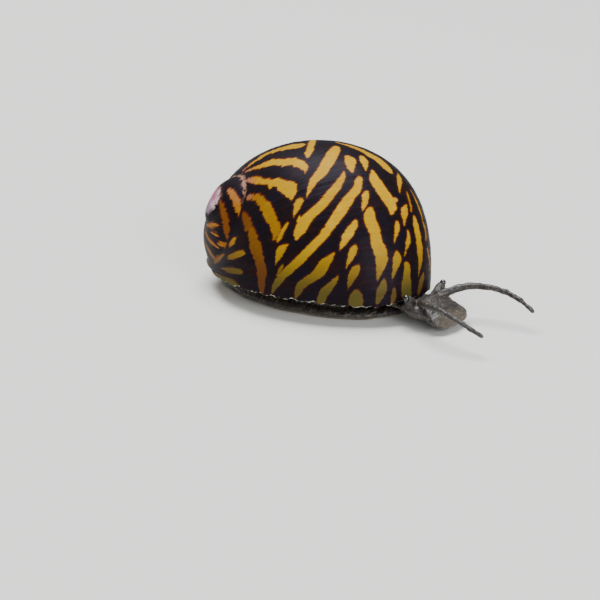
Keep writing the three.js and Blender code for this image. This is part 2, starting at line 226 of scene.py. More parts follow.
def outward(points):
    """The direction straight out of the shell's surface at places on it."""
    slopes = []
    for shift in SLOPE_STEP * np.eye(3):
        slopes.append(shell_distance(points + shift)[0] - shell_distance(points - shift)[0])
    return unit(np.stack(slopes, axis=-1))


def settle(points):
    """Moves places near the shell's surface onto it."""
    for _ in range(SETTLE_ROUNDS):
        points = points - shell_distance(points)[0][:, None] * outward(points)
    return points


def halved(low, high, rounds, holds):
    """Closes in on where a test that holds at the low ends and fails at the high ends turns over."""
    for _ in range(rounds):
        middle = (low + high) / 2
        held = holds(middle)
        low = np.where(held, middle, low)
        high = np.where(held, high, middle)
    return low, high


# Meshes

def linked(name, data):
    obj = bpy.data.objects.new(name, data)
    bpy.context.scene.collection.objects.link(obj)
    return obj


def mesh_object(name, points, faces, scale=MM):
    """A smooth mesh object from points in millimetres."""
    mesh = bpy.data.meshes.new(name)
    mesh.from_pydata(np.asarray(points) * scale, [], faces, shade_flat=False)
    return linked(name, mesh)


def grid_faces(rows, columns):
    """Quads between neighbours in a grid of points stored row by row."""
    i, j = np.meshgrid(np.arange(rows - 1), np.arange(columns - 1), indexing="ij")
    a = (i * columns + j).ravel()
    return np.stack([a, a + columns, a + columns + 1, a + 1], axis=-1)


# Solids from rings of points, for the soft parts and the small pieces

FOOT_SIDES = 96
HEAD_SIDES = 64
LIMB_SIDES = 28
BALL_END = 0.05


def loft(rings):
    """Points and faces of a closed solid through rings that all have as many points."""
    count = len(rings[0])
    points = [tuple(p) for ring in rings for p in ring]
    faces = []
    for start in range(0, len(points) - count, count):
        for j in range(count):
            k = (j + 1) % count
            faces.append((start + j, start + k, start + count + k, start + count + j))
    faces.append(tuple(reversed(range(count))))
    faces.append(tuple(range(len(points) - count, len(points))))
    return points, faces


def through(stations, steps):
    """Rows of numbers run through smoothly, with the given steps between one row and the next."""
    rows = np.array(stations, float)
    padded = np.vstack([2 * rows[0] - rows[1], rows, 2 * rows[-1] - rows[-2]])
    out = []
    for i in range(1, len(padded) - 2):
        a, b, c, d = padded[i - 1:i + 3]
        for u in np.arange(steps) / steps:
            out.append(0.5 * (2 * b + (c - a) * u + (2 * a - 5 * b + 4 * c - d) * u**2
                              + (3 * b - a - 3 * c + d) * u**3))
    out.append(rows[-1])
    return np.array(out)


def circle(sides):
    t = TURN * np.arange(sides) / sides
    return np.cos(t), np.sin(t)


def level_oval(x, y, z, half_x, half_y):
    cos, sin = circle(FOOT_SIDES)
    return np.stack([x + half_x * cos, y + half_y * sin, np.full(FOOT_SIDES, z)], axis=-1)


def upright_oval(x, y, z, half_y, half_z):
    cos, sin = circle(HEAD_SIDES)
    return np.stack([np.full(HEAD_SIDES, x), y + half_y * cos, z + half_z * sin], axis=-1)


def ball(centre, half_sizes, sides, count):
    """A ball or an egg through rings that run from its left to its right."""
    cos, sin = circle(sides)
    rings = []
    for turn in np.linspace(math.pi - BALL_END, BALL_END, count):
        ring = np.stack([np.sin(turn) * cos, np.full(sides, -np.cos(turn)), np.sin(turn) * sin], axis=-1)
        rings.append(centre + ring * half_sizes)
    return loft(rings)


def limb(route, radii):
    """A round limb along a route, closed by a small cap at its end."""
    rings = []
    tangents = np.gradient(route, axis=0)
    cos, sin = circle(LIMB_SIDES)
    for place, along, radius in zip(route, tangents, radii):
        along = along / np.linalg.norm(along)
        side = np.cross([0, 0, 1.0], along)
        side /= np.linalg.norm(side)
        over = np.cross(along, side)
        rings.append(place + radius * (cos[:, None] * side + sin[:, None] * over))
    return loft(rings)


def vertex_rows(obj, what):
    """The places or the normals of a mesh object's vertices, as they are stored."""
    rows = np.zeros(len(obj.data.vertices) * 3, np.float32)
    obj.data.vertices.foreach_get(what, rows)
    return rows.reshape(-1, 3)


def move_vertices(obj, places):
    obj.data.vertices.foreach_set("co", places.astype(np.float32).ravel())
    obj.data.update()


# The dome of the shell, as far as it is met on rays from a place inside it

DOME_CENTRE = np.array([-4.5, 0.2, RIM_HEIGHT])
DOME_CELLS = 420
RAY_FROM = 2.0
RAY_TO = 17.0
RAY_STEPS = 30
RAY_ROUNDS = 22
STEEPEST_RIM = 0.6
RIM_ROUNDS = 14
RIM_SAMPLES = 1441


def square_to_disc(count):
    """A square grid bent into a disc: each node's direction round the disc and its share of the radius."""
    line = np.linspace(-1, 1, count)
    u, v = np.meshgrid(line, line, indexing="ij")
    wide = np.abs(u) > np.abs(v)
    safe_u = np.where(u == 0, 1, u)
    safe_v = np.where(v == 0, 1, v)
    radius = np.where(wide, u, v)
    turn = np.where(wide, math.pi / 4 * v / safe_u, math.pi / 2 - math.pi / 4 * u / safe_v)
    return np.where(radius < 0, turn + math.pi, turn), np.abs(radius)


def surface_along(directions):
    """How far the shell's surface is from the dome's centre in each direction."""
    def inside(reach):
        return shell_distance(DOME_CENTRE + directions * reach[:, None])[0] < 0

    steps = np.linspace(RAY_FROM, RAY_TO, RAY_STEPS)
    start = np.full(len(directions), RAY_FROM)
    for step in steps:
        start = np.where(inside(np.full(len(directions), step)), step, start)
    low, high = halved(start, start + (steps[1] - steps[0]), RAY_ROUNDS, inside)
    return (low + high) / 2


def direction(turn, rise):
    return np.stack([np.cos(turn) * np.cos(rise), np.sin(turn) * np.cos(rise), np.sin(rise)], axis=-1)


def rim_rise(turns):
    """The angle over the horizon at which the rim is seen from the dome's centre, in each direction."""
    def under(rise):
        way = direction(turns, rise)
        place = DOME_CENTRE + way * surface_along(way)[:, None]
        return place[:, 2] < rim_height(place[:, 0], place[:, 1])

    return halved(np.zeros(len(turns)), np.full(len(turns), STEEPEST_RIM), RIM_ROUNDS, under)[1]


def dome_points():
    turn, share = square_to_disc(DOME_CELLS + 1)
    samples = np.linspace(-math.pi, 2 * math.pi, RIM_SAMPLES)
    rim = np.interp(turn.ravel(), samples, rim_rise(samples))
    rise = rim + (math.pi / 2 - rim) * (1 - share.ravel())
    way = direction(turn.ravel(), rise)
    return DOME_CENTRE + way * surface_along(way)[:, None]


def edge_loop(count):
    """The nodes round the outside of a square grid, in order."""
    line = np.arange(count - 1)
    last = count - 1
    return np.concatenate([
        line * count,
        last * count + line,
        (last - line) * count + last,
        last - line,
    ])


# The rim, from the outer edge under the lip and up inside the opening: inset and rise of each ring
LIP_RINGS = [
    (0.05, -0.03),
    (0.16, -0.05),
    (0.32, -0.02),
    (0.6, 0.04),
    (0.95, 0.14),
    (1.15, 0.5),
    (1.3, 1.2),
    (1.5, 2.0),
    (1.9, 2.4),
]
CEILING_SHARES = (0.6, 0.3, 0.05)


def build_shell():
    """The shell's mesh, with its lip and the inside of its opening, and the rim's nodes for each ring."""
    count = DOME_CELLS + 1
    points = dome_points()
    faces = [grid_faces(count, count)]
    loop = edge_loop(count)
    rim = points[loop]
    inward = -unit(outward(rim) * (1, 1, 0))
    level = rim_height(rim[:, 0], rim[:, 1])
    rings = []
    for inset, rise in LIP_RINGS:
        ring = rim + inward * inset
        ring[:, 2] = level + rise
        rings.append(ring)
    last = rings[-1]
    middle = last.mean(axis=0)
    rings += [middle + (last - middle) * share for share in CEILING_SHARES]
    start = len(points)
    before = loop
    for k in range(len(rings)):
        after = start + k * len(loop) + np.arange(len(loop))
        faces.append(np.stack([after, np.roll(after, -1), np.roll(before, -1), before], axis=-1))
        before = after
    k = np.arange(len(loop) // 2 - 1)
    faces.append(before[np.stack([k, -1 - k, -2 - k, k + 1], axis=-1)])
    shell = mesh_object("shell", np.concatenate([points, *rings]), np.concatenate(faces))
    return shell, points, np.tile(loop, len(rings))


# Growth: the lip's own line, carried back round the coil, gives the growth lines

LIP_FROM = math.radians(-75)
LIP_TO = math.radians(195)
LIP_PLACES = 109
LIP_NEAREST = math.radians(40)
LIP_FARTHEST = math.radians(205)
LIP_ROUNDS = 30
SECTION_FROM = LIP_FROM - 0.3
COIL_STEP = 0.01


def lip_line():
    """At places round the section, the angle round the coil at which the whorl meets the rim."""
    sections = np.linspace(LIP_FROM, LIP_TO, LIP_PLACES)

    def above(angle):
        return section_point(angle, sections)[:, 2] > RIM_HEIGHT

    nearest = np.full(LIP_PLACES, LIP_NEAREST)
    farthest = np.full(LIP_PLACES, LIP_FARTHEST)
    low, high = halved(nearest, farthest, LIP_ROUNDS, above)
    return sections, (low + high) / 2


LIP_SECTIONS, LIP_ANGLES = lip_line()


def lip_angle(section):
    return np.interp(section, LIP_SECTIONS, LIP_ANGLES)


def coil_state(points):
    """The coil's angle and the place round its section, counted on past half a turn."""
    _, angle, section = shell_distance(points)
    return angle, np.where(section < SECTION_FROM, section + TURN, section)


def coil_directions(points):
    """The directions along the coil and along the growth line, flat on the shell."""
    angle, section = coil_state(points)
    step = COIL_STEP
    along = (section_point(angle + step, section) - section_point(angle - step, section)) / (2 * step)
    across = (section_point(angle, section + step) - section_point(angle, section - step)) / (2 * step)
    slope = (lip_angle(section + step) - lip_angle(section - step)) / (2 * step)
    growth_line = across + slope[:, None] * along
    out = outward(points)
    flat = [unit(way - (way * out).sum(axis=-1, keepdims=True) * out) for way in (along, growth_line)]
    return flat[0], flat[1], section


def second_whorl(points):
    """How far places lie outside the second nearest whorl, which is nothing along the suture."""
    return np.sort([distance for distance, _, _ in whorls(points)], axis=0)[1]


# The marks

# Marks placed over the photograph: a tone, then places along the stroke with half widths, in pixels
MARKS = {
    "crest_left": (0.9, [(243, 169.5, 0.9), (252, 162.3, 1.2), (262, 155.8, 1.6), (271, 151.3, 2.1),
        (281, 148.3, 2.7), (291, 146, 3.2), (298, 145, 3.2)]),
    "crest_middle": (1.0, [(312.6, 139.5, 3.2), (310.8, 145, 3.8), (308.6, 151, 3.8), (307.2, 156.5, 2)]),
    "crest_right": (0.9, [(336, 141.8, 0.9), (344, 144, 1.4), (352, 146.3, 2), (360, 149.3, 2.6),
        (368, 153.6, 3.1), (374, 156.8, 3.5), (380, 161, 4), (386, 166.8, 4.4), (389.5, 171, 3)]),
    "band_one": (1.0, [(245, 171.3, 0.9), (253, 167.8, 1.5), (261, 165.2, 2.6), (270, 162, 4),
        (282, 161.8, 4.4), (292, 161, 4.6), (299.5, 163.5, 5), (304.5, 167.5, 4), (304.6, 173, 0.9)]),
    "band_two": (0.9, [(247.5, 179.5, 2.5), (256, 179.7, 4.3), (265, 181.2, 4.2), (275, 181.6, 4.5),
        (282, 185, 6.8), (289, 188.5, 8), (290.8, 194, 4.6), (291, 199.5, 0.8)]),
    "band_two_spur": (0.9, [(270, 182, 3), (269.8, 186.5, 1.6)]),
    "band_three": (0.42, [(247.5, 197, 3), (255, 196.5, 3.6), (261, 201, 5), (265.5, 207, 6),
        (268.5, 213, 6), (271.5, 219, 5.4), (274.5, 225.5, 5.4), (275.5, 231.5, 4.6), (273.5, 237, 2)]),
    "band_three_fork": (0.7, [(287, 222.5, 1), (284, 228, 2), (280.5, 233.5, 2.6), (277, 241.5, 1)]),
    "drop_one": (0.85, [(301.5, 198.8, 1.6), (298.5, 202, 4.2), (296.5, 206.5, 4.2), (294.5, 211.5, 2.7),
        (293.2, 216.3, 0.9)]),
    "slant_one": (1.0, [(335.5, 147, 4.2), (333.3, 151, 6), (328.5, 160, 6.5), (322, 170, 5.7),
        (316, 177, 4.6), (312.5, 182, 3.9), (308.6, 190, 2.4), (306, 196.8, 0.8)]),
    "slant_one_spur": (1.0, [(320, 173, 2.5), (321.8, 176.8, 0.8)]),
    "slant_two": (0.92, [(343.5, 171.5, 1.6), (342, 177, 3.4), (338, 183.5, 4.3), (333, 190, 4.7),
        (327.5, 197.5, 4.9), (320.5, 205, 4.9), (313, 212, 5.2), (306, 219, 5.7), (301.5, 225.5, 6),
        (298, 232, 4.6), (296, 238, 2)]),
    "slant_two_spur": (1.0, [(299, 216, 1), (298.5, 221, 2.5)]),
    "slant_three": (1.0, [(359, 177.5, 3), (358, 182, 4.6), (356.5, 188, 4.6), (352, 194, 4.7),
        (346.5, 201, 5.6), (342, 208, 5.9), (337.5, 214.5, 5.9), (333, 221, 5.4), (327.5, 229, 5),
        (322.5, 235.5, 4.7), (317, 241.5, 4.6), (310.5, 247.5, 4.5), (305, 254, 4.6), (298.5, 260.5, 4.7),
        (291.5, 266.5, 4.7), (284, 273.5, 4.2), (277.5, 281, 3.8), (273.5, 287.5, 2.4), (271.5, 293, 0.9)]),
    "leaf_one": (1.0, [(347.5, 157, 3.8), (349.8, 160, 6), (350.2, 165, 4.9), (351.2, 170, 2.5),
        (351.8, 172.3, 0.8)]),
    "leaf_two": (1.0, [(361.5, 156.5, 3), (363.5, 160.5, 4.3), (364.8, 165, 3), (365.3, 170, 1)]),
    "leaf_three": (1.0, [(366.3, 191.8, 1.8), (365, 196, 4), (364.6, 201, 3.5), (363, 206, 2.2),
        (362.2, 210.5, 0.8)]),
    "blade_one": (1.0, [(372, 170.5, 2), (373.2, 175, 4.2), (374.5, 180, 5.4), (379, 186, 5.8),
        (383, 192.5, 5.8), (387.5, 199, 5.8), (391.5, 205, 5.2), (391, 210, 3.4), (390.5, 214, 0.9)]),
    "blade_one_lobe": (0.9, [(391, 201, 4.5), (395, 199.5, 3.2)]),
    "blade_two": (0.95, [(370, 209.5, 3.2), (369.3, 213, 5.6), (369.3, 218, 6.4), (371.5, 224.5, 6.3),
        (374.5, 231, 6.1), (375.5, 238, 6), (377, 244.5, 6.2), (379.5, 250, 6.8), (381, 257, 6.5),
        (380.6, 263, 5.5), (379.5, 269, 4.2), (378, 275, 2.4), (377, 280, 1)]),
    "right_one": (0.85, [(398, 174, 2), (399, 179, 3.3), (399, 184.5, 2.5), (399, 192, 0.7)]),
    "right_two": (0.82, [(405.8, 204.5, 1.4), (404.2, 209, 3.6), (404, 214, 3.7), (403.8, 219.5, 2.4),
        (403.7, 224.8, 0.9)]),
    "right_three": (0.9, [(396.8, 221.8, 1.8), (396.8, 226, 3.1), (396.2, 231, 2.8), (394.8, 237, 1.6),
        (394, 242, 0.7)]),
    "right_four": (0.85, [(413.8, 216.5, 1.8), (414.8, 221, 2.7), (416.2, 228, 3), (417.8, 236, 3.1),
        (419.2, 246, 3.1), (419.8, 255, 3), (419.6, 263, 2), (418.6, 271, 1.1), (418, 275.5, 0.6)]),
    "right_five": (0.85, [(407.3, 230.5, 1.2), (408.2, 237, 2.4), (407.2, 243.5, 2.5), (405.3, 250, 1.5),
        (404, 255.5, 0.7)]),
    "right_six": (0.5, [(406.5, 192, 0.8), (408.5, 199, 1.3), (410.5, 206, 1.3), (410.5, 211, 0.8)]),
    "right_seven": (0.95, [(396.2, 252, 2.2), (396.8, 257, 4.2), (395.9, 263, 3.6), (394, 270, 2.8),
        (392.3, 276, 1.7), (391.4, 280.5, 0.7)]),
    "right_eight": (1.0, [(406, 263.8, 2.2), (406.8, 268, 3.4), (406.2, 277, 4.3), (406, 287, 5.2),
        (406.2, 295, 5), (405.8, 304, 3)]),
    "right_nine": (0.7, [(422.8, 273.5, 1.2), (421.6, 279, 2.3), (419.8, 286, 2.6), (418, 293.5, 1.4)]),
    "edge_one": (0.6, [(410, 189, 0.6), (414, 197, 0.9), (418, 206, 1.1), (421, 215, 1.2),
        (422, 221, 0.8)]),
    "edge_two": (0.5, [(422.5, 222, 1), (425, 230, 1.2), (425.5, 238, 1), (425, 242, 0.6)]),
    "edge_three": (0.5, [(427, 249, 1), (429, 259, 1.3), (430, 269, 1.2), (430, 274, 0.8)]),
    "middle_one": (1.0, [(355, 220.5, 2), (353.5, 225, 4), (349.5, 230.5, 4.8), (346.3, 236.5, 4.8),
        (342.8, 242.5, 3.6), (340.2, 247.5, 1.7), (339, 250.5, 0.7)]),
    "middle_two": (0.9, [(354.5, 246, 2.2), (353, 250, 4.3), (350.5, 256, 3.6), (347.8, 262, 2.2),
        (345.5, 268, 0.8)]),
    "middle_three": (0.8, [(358, 265.8, 2), (355, 269.5, 4.6), (352.3, 275, 4.3), (350, 280.5, 3),
        (347.8, 287, 1.3), (347.2, 290, 0.5)]),
    "low_one": (0.85, [(333.5, 252.8, 1.4), (330, 257, 3.4), (325, 262, 5), (321.5, 267.5, 6),
        (318.5, 272, 6), (312.5, 277, 4.8), (306, 280.5, 4.5), (300.5, 285.5, 4.5), (297.8, 290.5, 3.8),
        (295.5, 296.5, 1.4)]),
    "low_two": (0.95, [(337.2, 276.5, 1), (334, 281, 3.2), (329, 286.5, 4.4), (324.5, 291.5, 5),
        (321.3, 297, 5), (319.8, 301.5, 3.6)]),
    "low_three": (0.95, [(355.8, 293.5, 4.6), (355.6, 297.5, 7), (355.2, 304, 7.2)]),
    "low_four": (0.95, [(383.5, 279.8, 1.8), (383, 284, 3.8), (381.3, 290, 4.6), (379, 296, 3.8),
        (376.8, 302.5, 1.8)]),
    "low_five": (0.8, [(393.5, 288, 1.2), (393.6, 293, 2.4), (393, 298, 2.6), (391.5, 302.5, 1.6)]),
    "low_six": (0.85, [(287.8, 244, 0.8), (283.5, 246.5, 3), (280, 250, 4), (278.2, 255.5, 3.2),
        (276, 261, 1.8), (275, 264.3, 0.6)]),
    "low_seven": (0.6, [(282.5, 263.5, 0.8), (281, 267, 2), (278.5, 271, 1.8), (276.5, 275, 0.7)]),
    "left_one": (0.2, [(250.5, 230.5, 3.2), (252, 236.5, 5.2), (254, 243.5, 6), (256, 250.5, 6),
        (258, 257.5, 5.2), (260, 265, 5), (261.3, 272, 5.2), (261, 279, 4), (261, 286, 3.2),
        (261.3, 292, 2), (261.5, 296, 0.8)]),
    "left_two": (0.12, [(242.5, 213, 1.8), (244.5, 217.5, 4.2), (247, 222.5, 4.6), (246.5, 228, 1.6)]),
    "spire_one": (0.6, [(228, 189, 2), (232, 193.5, 3.8), (234.8, 199.5, 4), (237.3, 206, 3.8),
        (238.2, 211.5, 2.3), (238.3, 215.5, 0.8)]),
    "spire_two": (0.2, [(219.5, 202, 2), (221.8, 208, 3.4), (223.6, 215, 3.6), (225, 222, 3.4),
        (226, 230, 3), (226.5, 238, 1.5)]),
}
MARK_TRIM = 0.3
LEAST_VIEW = 0.42
SEARCH_SPAN = 16.0
SEARCH_STEP = 0.25
SEARCH_ROUNDS = 14


def pixels_of(points):
    """Where places show in the photograph, with the middle of its first pixel at zero."""
    q = points - camera_place
    scale = CAMERA_FOCAL / (q @ camera_ahead)
    x = PHOTO_SIZE / 2 - 0.5 + (q @ camera_right) * scale
    y = PHOTO_SIZE / 2 - 0.5 - (q @ camera_up) * scale
    return x, y, scale


def under_pixels(x, y):
    """The places of the shell that show at pixels of the photograph, or are nearest to showing there."""
    right = (x + 0.5 - PHOTO_SIZE / 2)[:, None] * camera_right
    down = (y + 0.5 - PHOTO_SIZE / 2)[:, None] * camera_up
    way = unit(CAMERA_FOCAL * camera_ahead + right - down)

    def distance(reach):
        return shell_distance(camera_place + way * reach[:, None])[0]

    reach = np.full(len(x), CAMERA_DISTANCE)
    least = np.full(len(x), FAR)
    found = np.zeros(len(x), bool)
    for far in np.arange(CAMERA_DISTANCE - SEARCH_SPAN, CAMERA_DISTANCE + SEARCH_SPAN, SEARCH_STEP):
        here = distance(np.full(len(x), far))
        nearer = (here < least) & ~found
        reach = np.where(nearer, far, reach)
        least = np.where(nearer, here, least)
        found |= here < 0
    high = halved(reach - SEARCH_STEP, reach, SEARCH_ROUNDS, lambda middle: distance(middle) >= 0)[1]
    return settle(camera_place + way * np.where(found, high, reach)[:, None])


def seen_strokes():
    """The marks that the photograph shows, as strokes on the shell: tone, places and half widths."""
    strokes = []
    for tone, rows in MARKS.values():
        rows = through(rows, steps=3)
        places = under_pixels(rows[:, 0], rows[:, 1])
        across = unit(np.cross(outward(places), np.gradient(places, axis=0)))
        seen = across - (across @ camera_ahead)[:, None] * camera_ahead
        share = np.maximum(np.linalg.norm(seen, axis=-1), LEAST_VIEW)
        scale = pixels_of(places)[2]
        strokes.append((tone, places, (rows[:, 2] - MARK_TRIM) / (scale * share)))
    return strokes


# Marks on the sides that the photograph doesn't show
STROKE_TRIES = 2600
STROKE_STEP = 0.35
WALK_STEPS = 13
LONGEST_STROKE = 8.5
SHORTEST_STROKE = 1.1
LENGTH_CURVE = 0.7
STROKE_GAP = 0.5
LEAST_GAP_SIZE = 0.6
SMALLEST_WHORL = 0.3
STROKE_WIDTHS = (0.36, 0.62)
WIDTH_BASE = 0.55
WIDTH_BY_LENGTH = 0.45
STROKE_TONES = (0.75, 1.0)
STROKE_TAPER = ((0, 0.12, 0.4, 0.75, 1), (0.3, 0.85, 1, 0.7, 0.1))
STROKE_BEND = (math.radians(-30), math.radians(25))
MARK_REACH = 1.0

# The photograph hides the shell left of one pixel column and below one row
HIDDEN_LEFT_OF = 245
HIDDEN_BELOW = 222
LEAST_FACING = 0.02


def unseen(points):
    """Which places of the shell the photograph leaves open, because they are turned away or hidden."""
    x, y, _ = pixels_of(points)
    facing = -(outward(points) @ camera_ahead)
    return (facing < LEAST_FACING) | ((x < HIDDEN_LEFT_OF) & (y > HIDDEN_BELOW))


def stroke_way(points):
    """Strokes follow the growth lines near the suture and turn to run along the coil away from it."""
    along, growth_line, section = coil_directions(points)
    share = smoothstep(section, *STROKE_BEND)[:, None]
    return unit(along * share - growth_line * (1 - share))


def walks(starts):
    """Routes over the shell through each start, both ways along the strokes' direction."""
    halves = []
    for sign in (-1, 1):
        places = starts
        half = []
        for _ in range(WALK_STEPS):
            places = settle(places + sign * STROKE_STEP * stroke_way(places))
            half.append(places)
        halves.append(half)
    return np.stack([*reversed(halves[0]), starts, *halves[1]], axis=1)


def unseen_strokes(dome, seen):
    """Strokes strewn over the open places, the longest first, each a gap away from the others."""
    open_places = dome[unseen(dome)]
    starts = open_places[rng.integers(0, len(open_places), STROKE_TRIES)]
    routes = walks(starts)
    whorl_sizes = WHORL_GROWTH ** (coil_state(starts)[0] / TURN)
    taken = np.concatenate([places for _, places, _ in seen])
    taken_radii = np.concatenate([radii for _, _, radii in seen])
    strokes = []
    for k in range(STROKE_TRIES):
        size = min(max(whorl_sizes[k], SMALLEST_WHORL), 1)
        length = LONGEST_STROKE + (SHORTEST_STROKE - LONGEST_STROKE) * (k / STROKE_TRIES) ** LENGTH_CURVE
        half = max(2, round(length * size / STROKE_STEP / 2))
        route = routes[k, WALK_STEPS - half:WALK_STEPS + half + 1]
        share = WIDTH_BASE + WIDTH_BY_LENGTH * length / LONGEST_STROKE
        widest = size * rng.uniform(*STROKE_WIDTHS) * share
        radii = widest * np.interp(np.linspace(0, 1, len(route)), *STROKE_TAPER)
        tone = rng.uniform(*STROKE_TONES)
        gap = np.linalg.norm(route[:, None] - taken, axis=-1) - radii[:, None] - taken_radii
        if gap.min() < STROKE_GAP * max(size, LEAST_GAP_SIZE) or not unseen(route).all():
            continue
        strokes.append((tone, route, radii))
        taken = np.concatenate([taken, route])
        taken_radii = np.concatenate([taken_radii, radii])
    return strokes


def marks_at(points, strokes):
    """How far places lie outside the nearest mark, and that mark's tone."""
    best = np.full(len(points), MARK_REACH)
    shade = np.ones(len(points))
    for tone, places, radii in strokes:
        reach = radii.max() + MARK_REACH
        near = np.all((points > places.min(axis=0) - reach) & (points < places.max(axis=0) + reach), axis=1)
        q = points[near]
        distance = best[near]
        for a, b, from_radius, to_radius in zip(places[:-1], places[1:], radii[:-1], radii[1:]):
            step = b - a
            share = np.clip((q - a) @ step / max(step @ step, TINY_LENGTH), 0, 1)
            off = np.linalg.norm(q - a - share[:, None] * step, axis=-1)
            distance = np.minimum(distance, off - from_radius - (to_radius - from_radius) * share)
        shade[near] = np.where(distance < best[near], tone, shade[near])
        best[near] = distance
    return best, shade


EARLIER_SHIFT = 0.13
PALE_FROM_RING = 3
LINE_SPAN = 12.0


def add_values(obj, name, values):
    kind = "FLOAT" if values.ndim == 1 else "FLOAT_VECTOR"
    layer = obj.data.attributes.new(name, kind, "POINT")
    layer.data.foreach_set("value" if values.ndim == 1 else "vector", values.astype(np.float32).ravel())


def mark_shell(shell, dome, ring_nodes):
    """Gives each place of the shell the values that its material reads."""
    seen = seen_strokes()
    strokes = seen + unseen_strokes(dome, seen)
    gold, tone = marks_at(dome, strokes)
    along, _, section = coil_directions(dome)
    earlier = marks_at(dome + along * EARLIER_SHIFT, strokes)[0]
    angle = coil_state(dome)[0]
    growth = angle - lip_angle(section)
    coil = np.stack([growth * LINE_SPAN, section * LINE_SPAN, np.zeros(len(dome))], axis=-1)
    values = {
        "gold": gold,
        "tone": tone,
        "earlier": earlier,
        "coil": coil,
        "worn": np.linalg.norm(dome - APEX - AXIS * APEX_WEAR, axis=-1),
        "suture": second_whorl(dome),
        "lip": dome[:, 2] - rim_height(dome[:, 0], dome[:, 1]),
        "inside": np.zeros(len(dome)),
    }
    ring = np.arange(len(ring_nodes)) * (len(LIP_RINGS) + len(CEILING_SHARES)) // len(ring_nodes)
    on_rings = {"lip": np.zeros(len(ring_nodes)), "inside": np.clip(ring / PALE_FROM_RING, 0, 1)}
    for name, outer in values.items():
        add_values(shell, name, np.concatenate([outer, on_rings.get(name, outer[ring_nodes])]))


LINE_SLOPE = 0.14
LINE_RATES = np.geomspace(28, 150, 9)
LINE_LEAN = 2
LEAST_LINE_SIZE = 0.2
LINE_FADE = (0.05, 0.8)


def raise_growth_lines(shell, points):
    """Gives the shell the low ridges of its growth, which fade out towards the rim."""
    angle, section = coil_state(points)
    growth = angle - lip_angle(section)
    height = np.zeros(len(points))
    for rate in LINE_RATES:
        lean = rng.uniform(-LINE_LEAN, LINE_LEAN)
        start = rng.uniform(0, TURN)
        height += np.sin(growth * rate + section * lean + start) * LINE_SLOPE / rate
    height *= np.clip(WHORL_GROWTH ** (angle / TURN), LEAST_LINE_SIZE, 1)
    height *= smoothstep(points[:, 2] - rim_height(points[:, 0], points[:, 1]), *LINE_FADE)
    places = vertex_rows(shell, "co")
    places[:len(points)] += (outward(points) * height[:, None] * MM).astype(np.float32)
    move_vertices(shell, places)


shell, dome, ring_nodes = build_shell()
mark_shell(shell, dome, ring_nodes)
raise_growth_lines(shell, dome)
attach(shell, "root")
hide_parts("shell_body_whorl", "shell_spire", "shell_apex")


# Materials

def colour(red, green, blue):
    """A colour given as it shows on a screen, out of 255, turned into light."""
    shares = [value / 255 for value in (red, green, blue)]
    return tuple(s / 12.92 if s <= 0.04045 else ((s + 0.055) / 1.055) ** 2.4 for s in shares) + (1.0,)


SOCKETS = {
    "colour": "Base Color",
    "roughness": "Roughness",
    "normal": "Normal",
    "coat": "Coat Weight",
    "coat_roughness": "Coat Roughness",
    "gloss": "Specular IOR Level",
    "gloss_tint": "Specular Tint",
    "depth": "Subsurface Weight",
    "depth_scale": "Subsurface Scale",
}


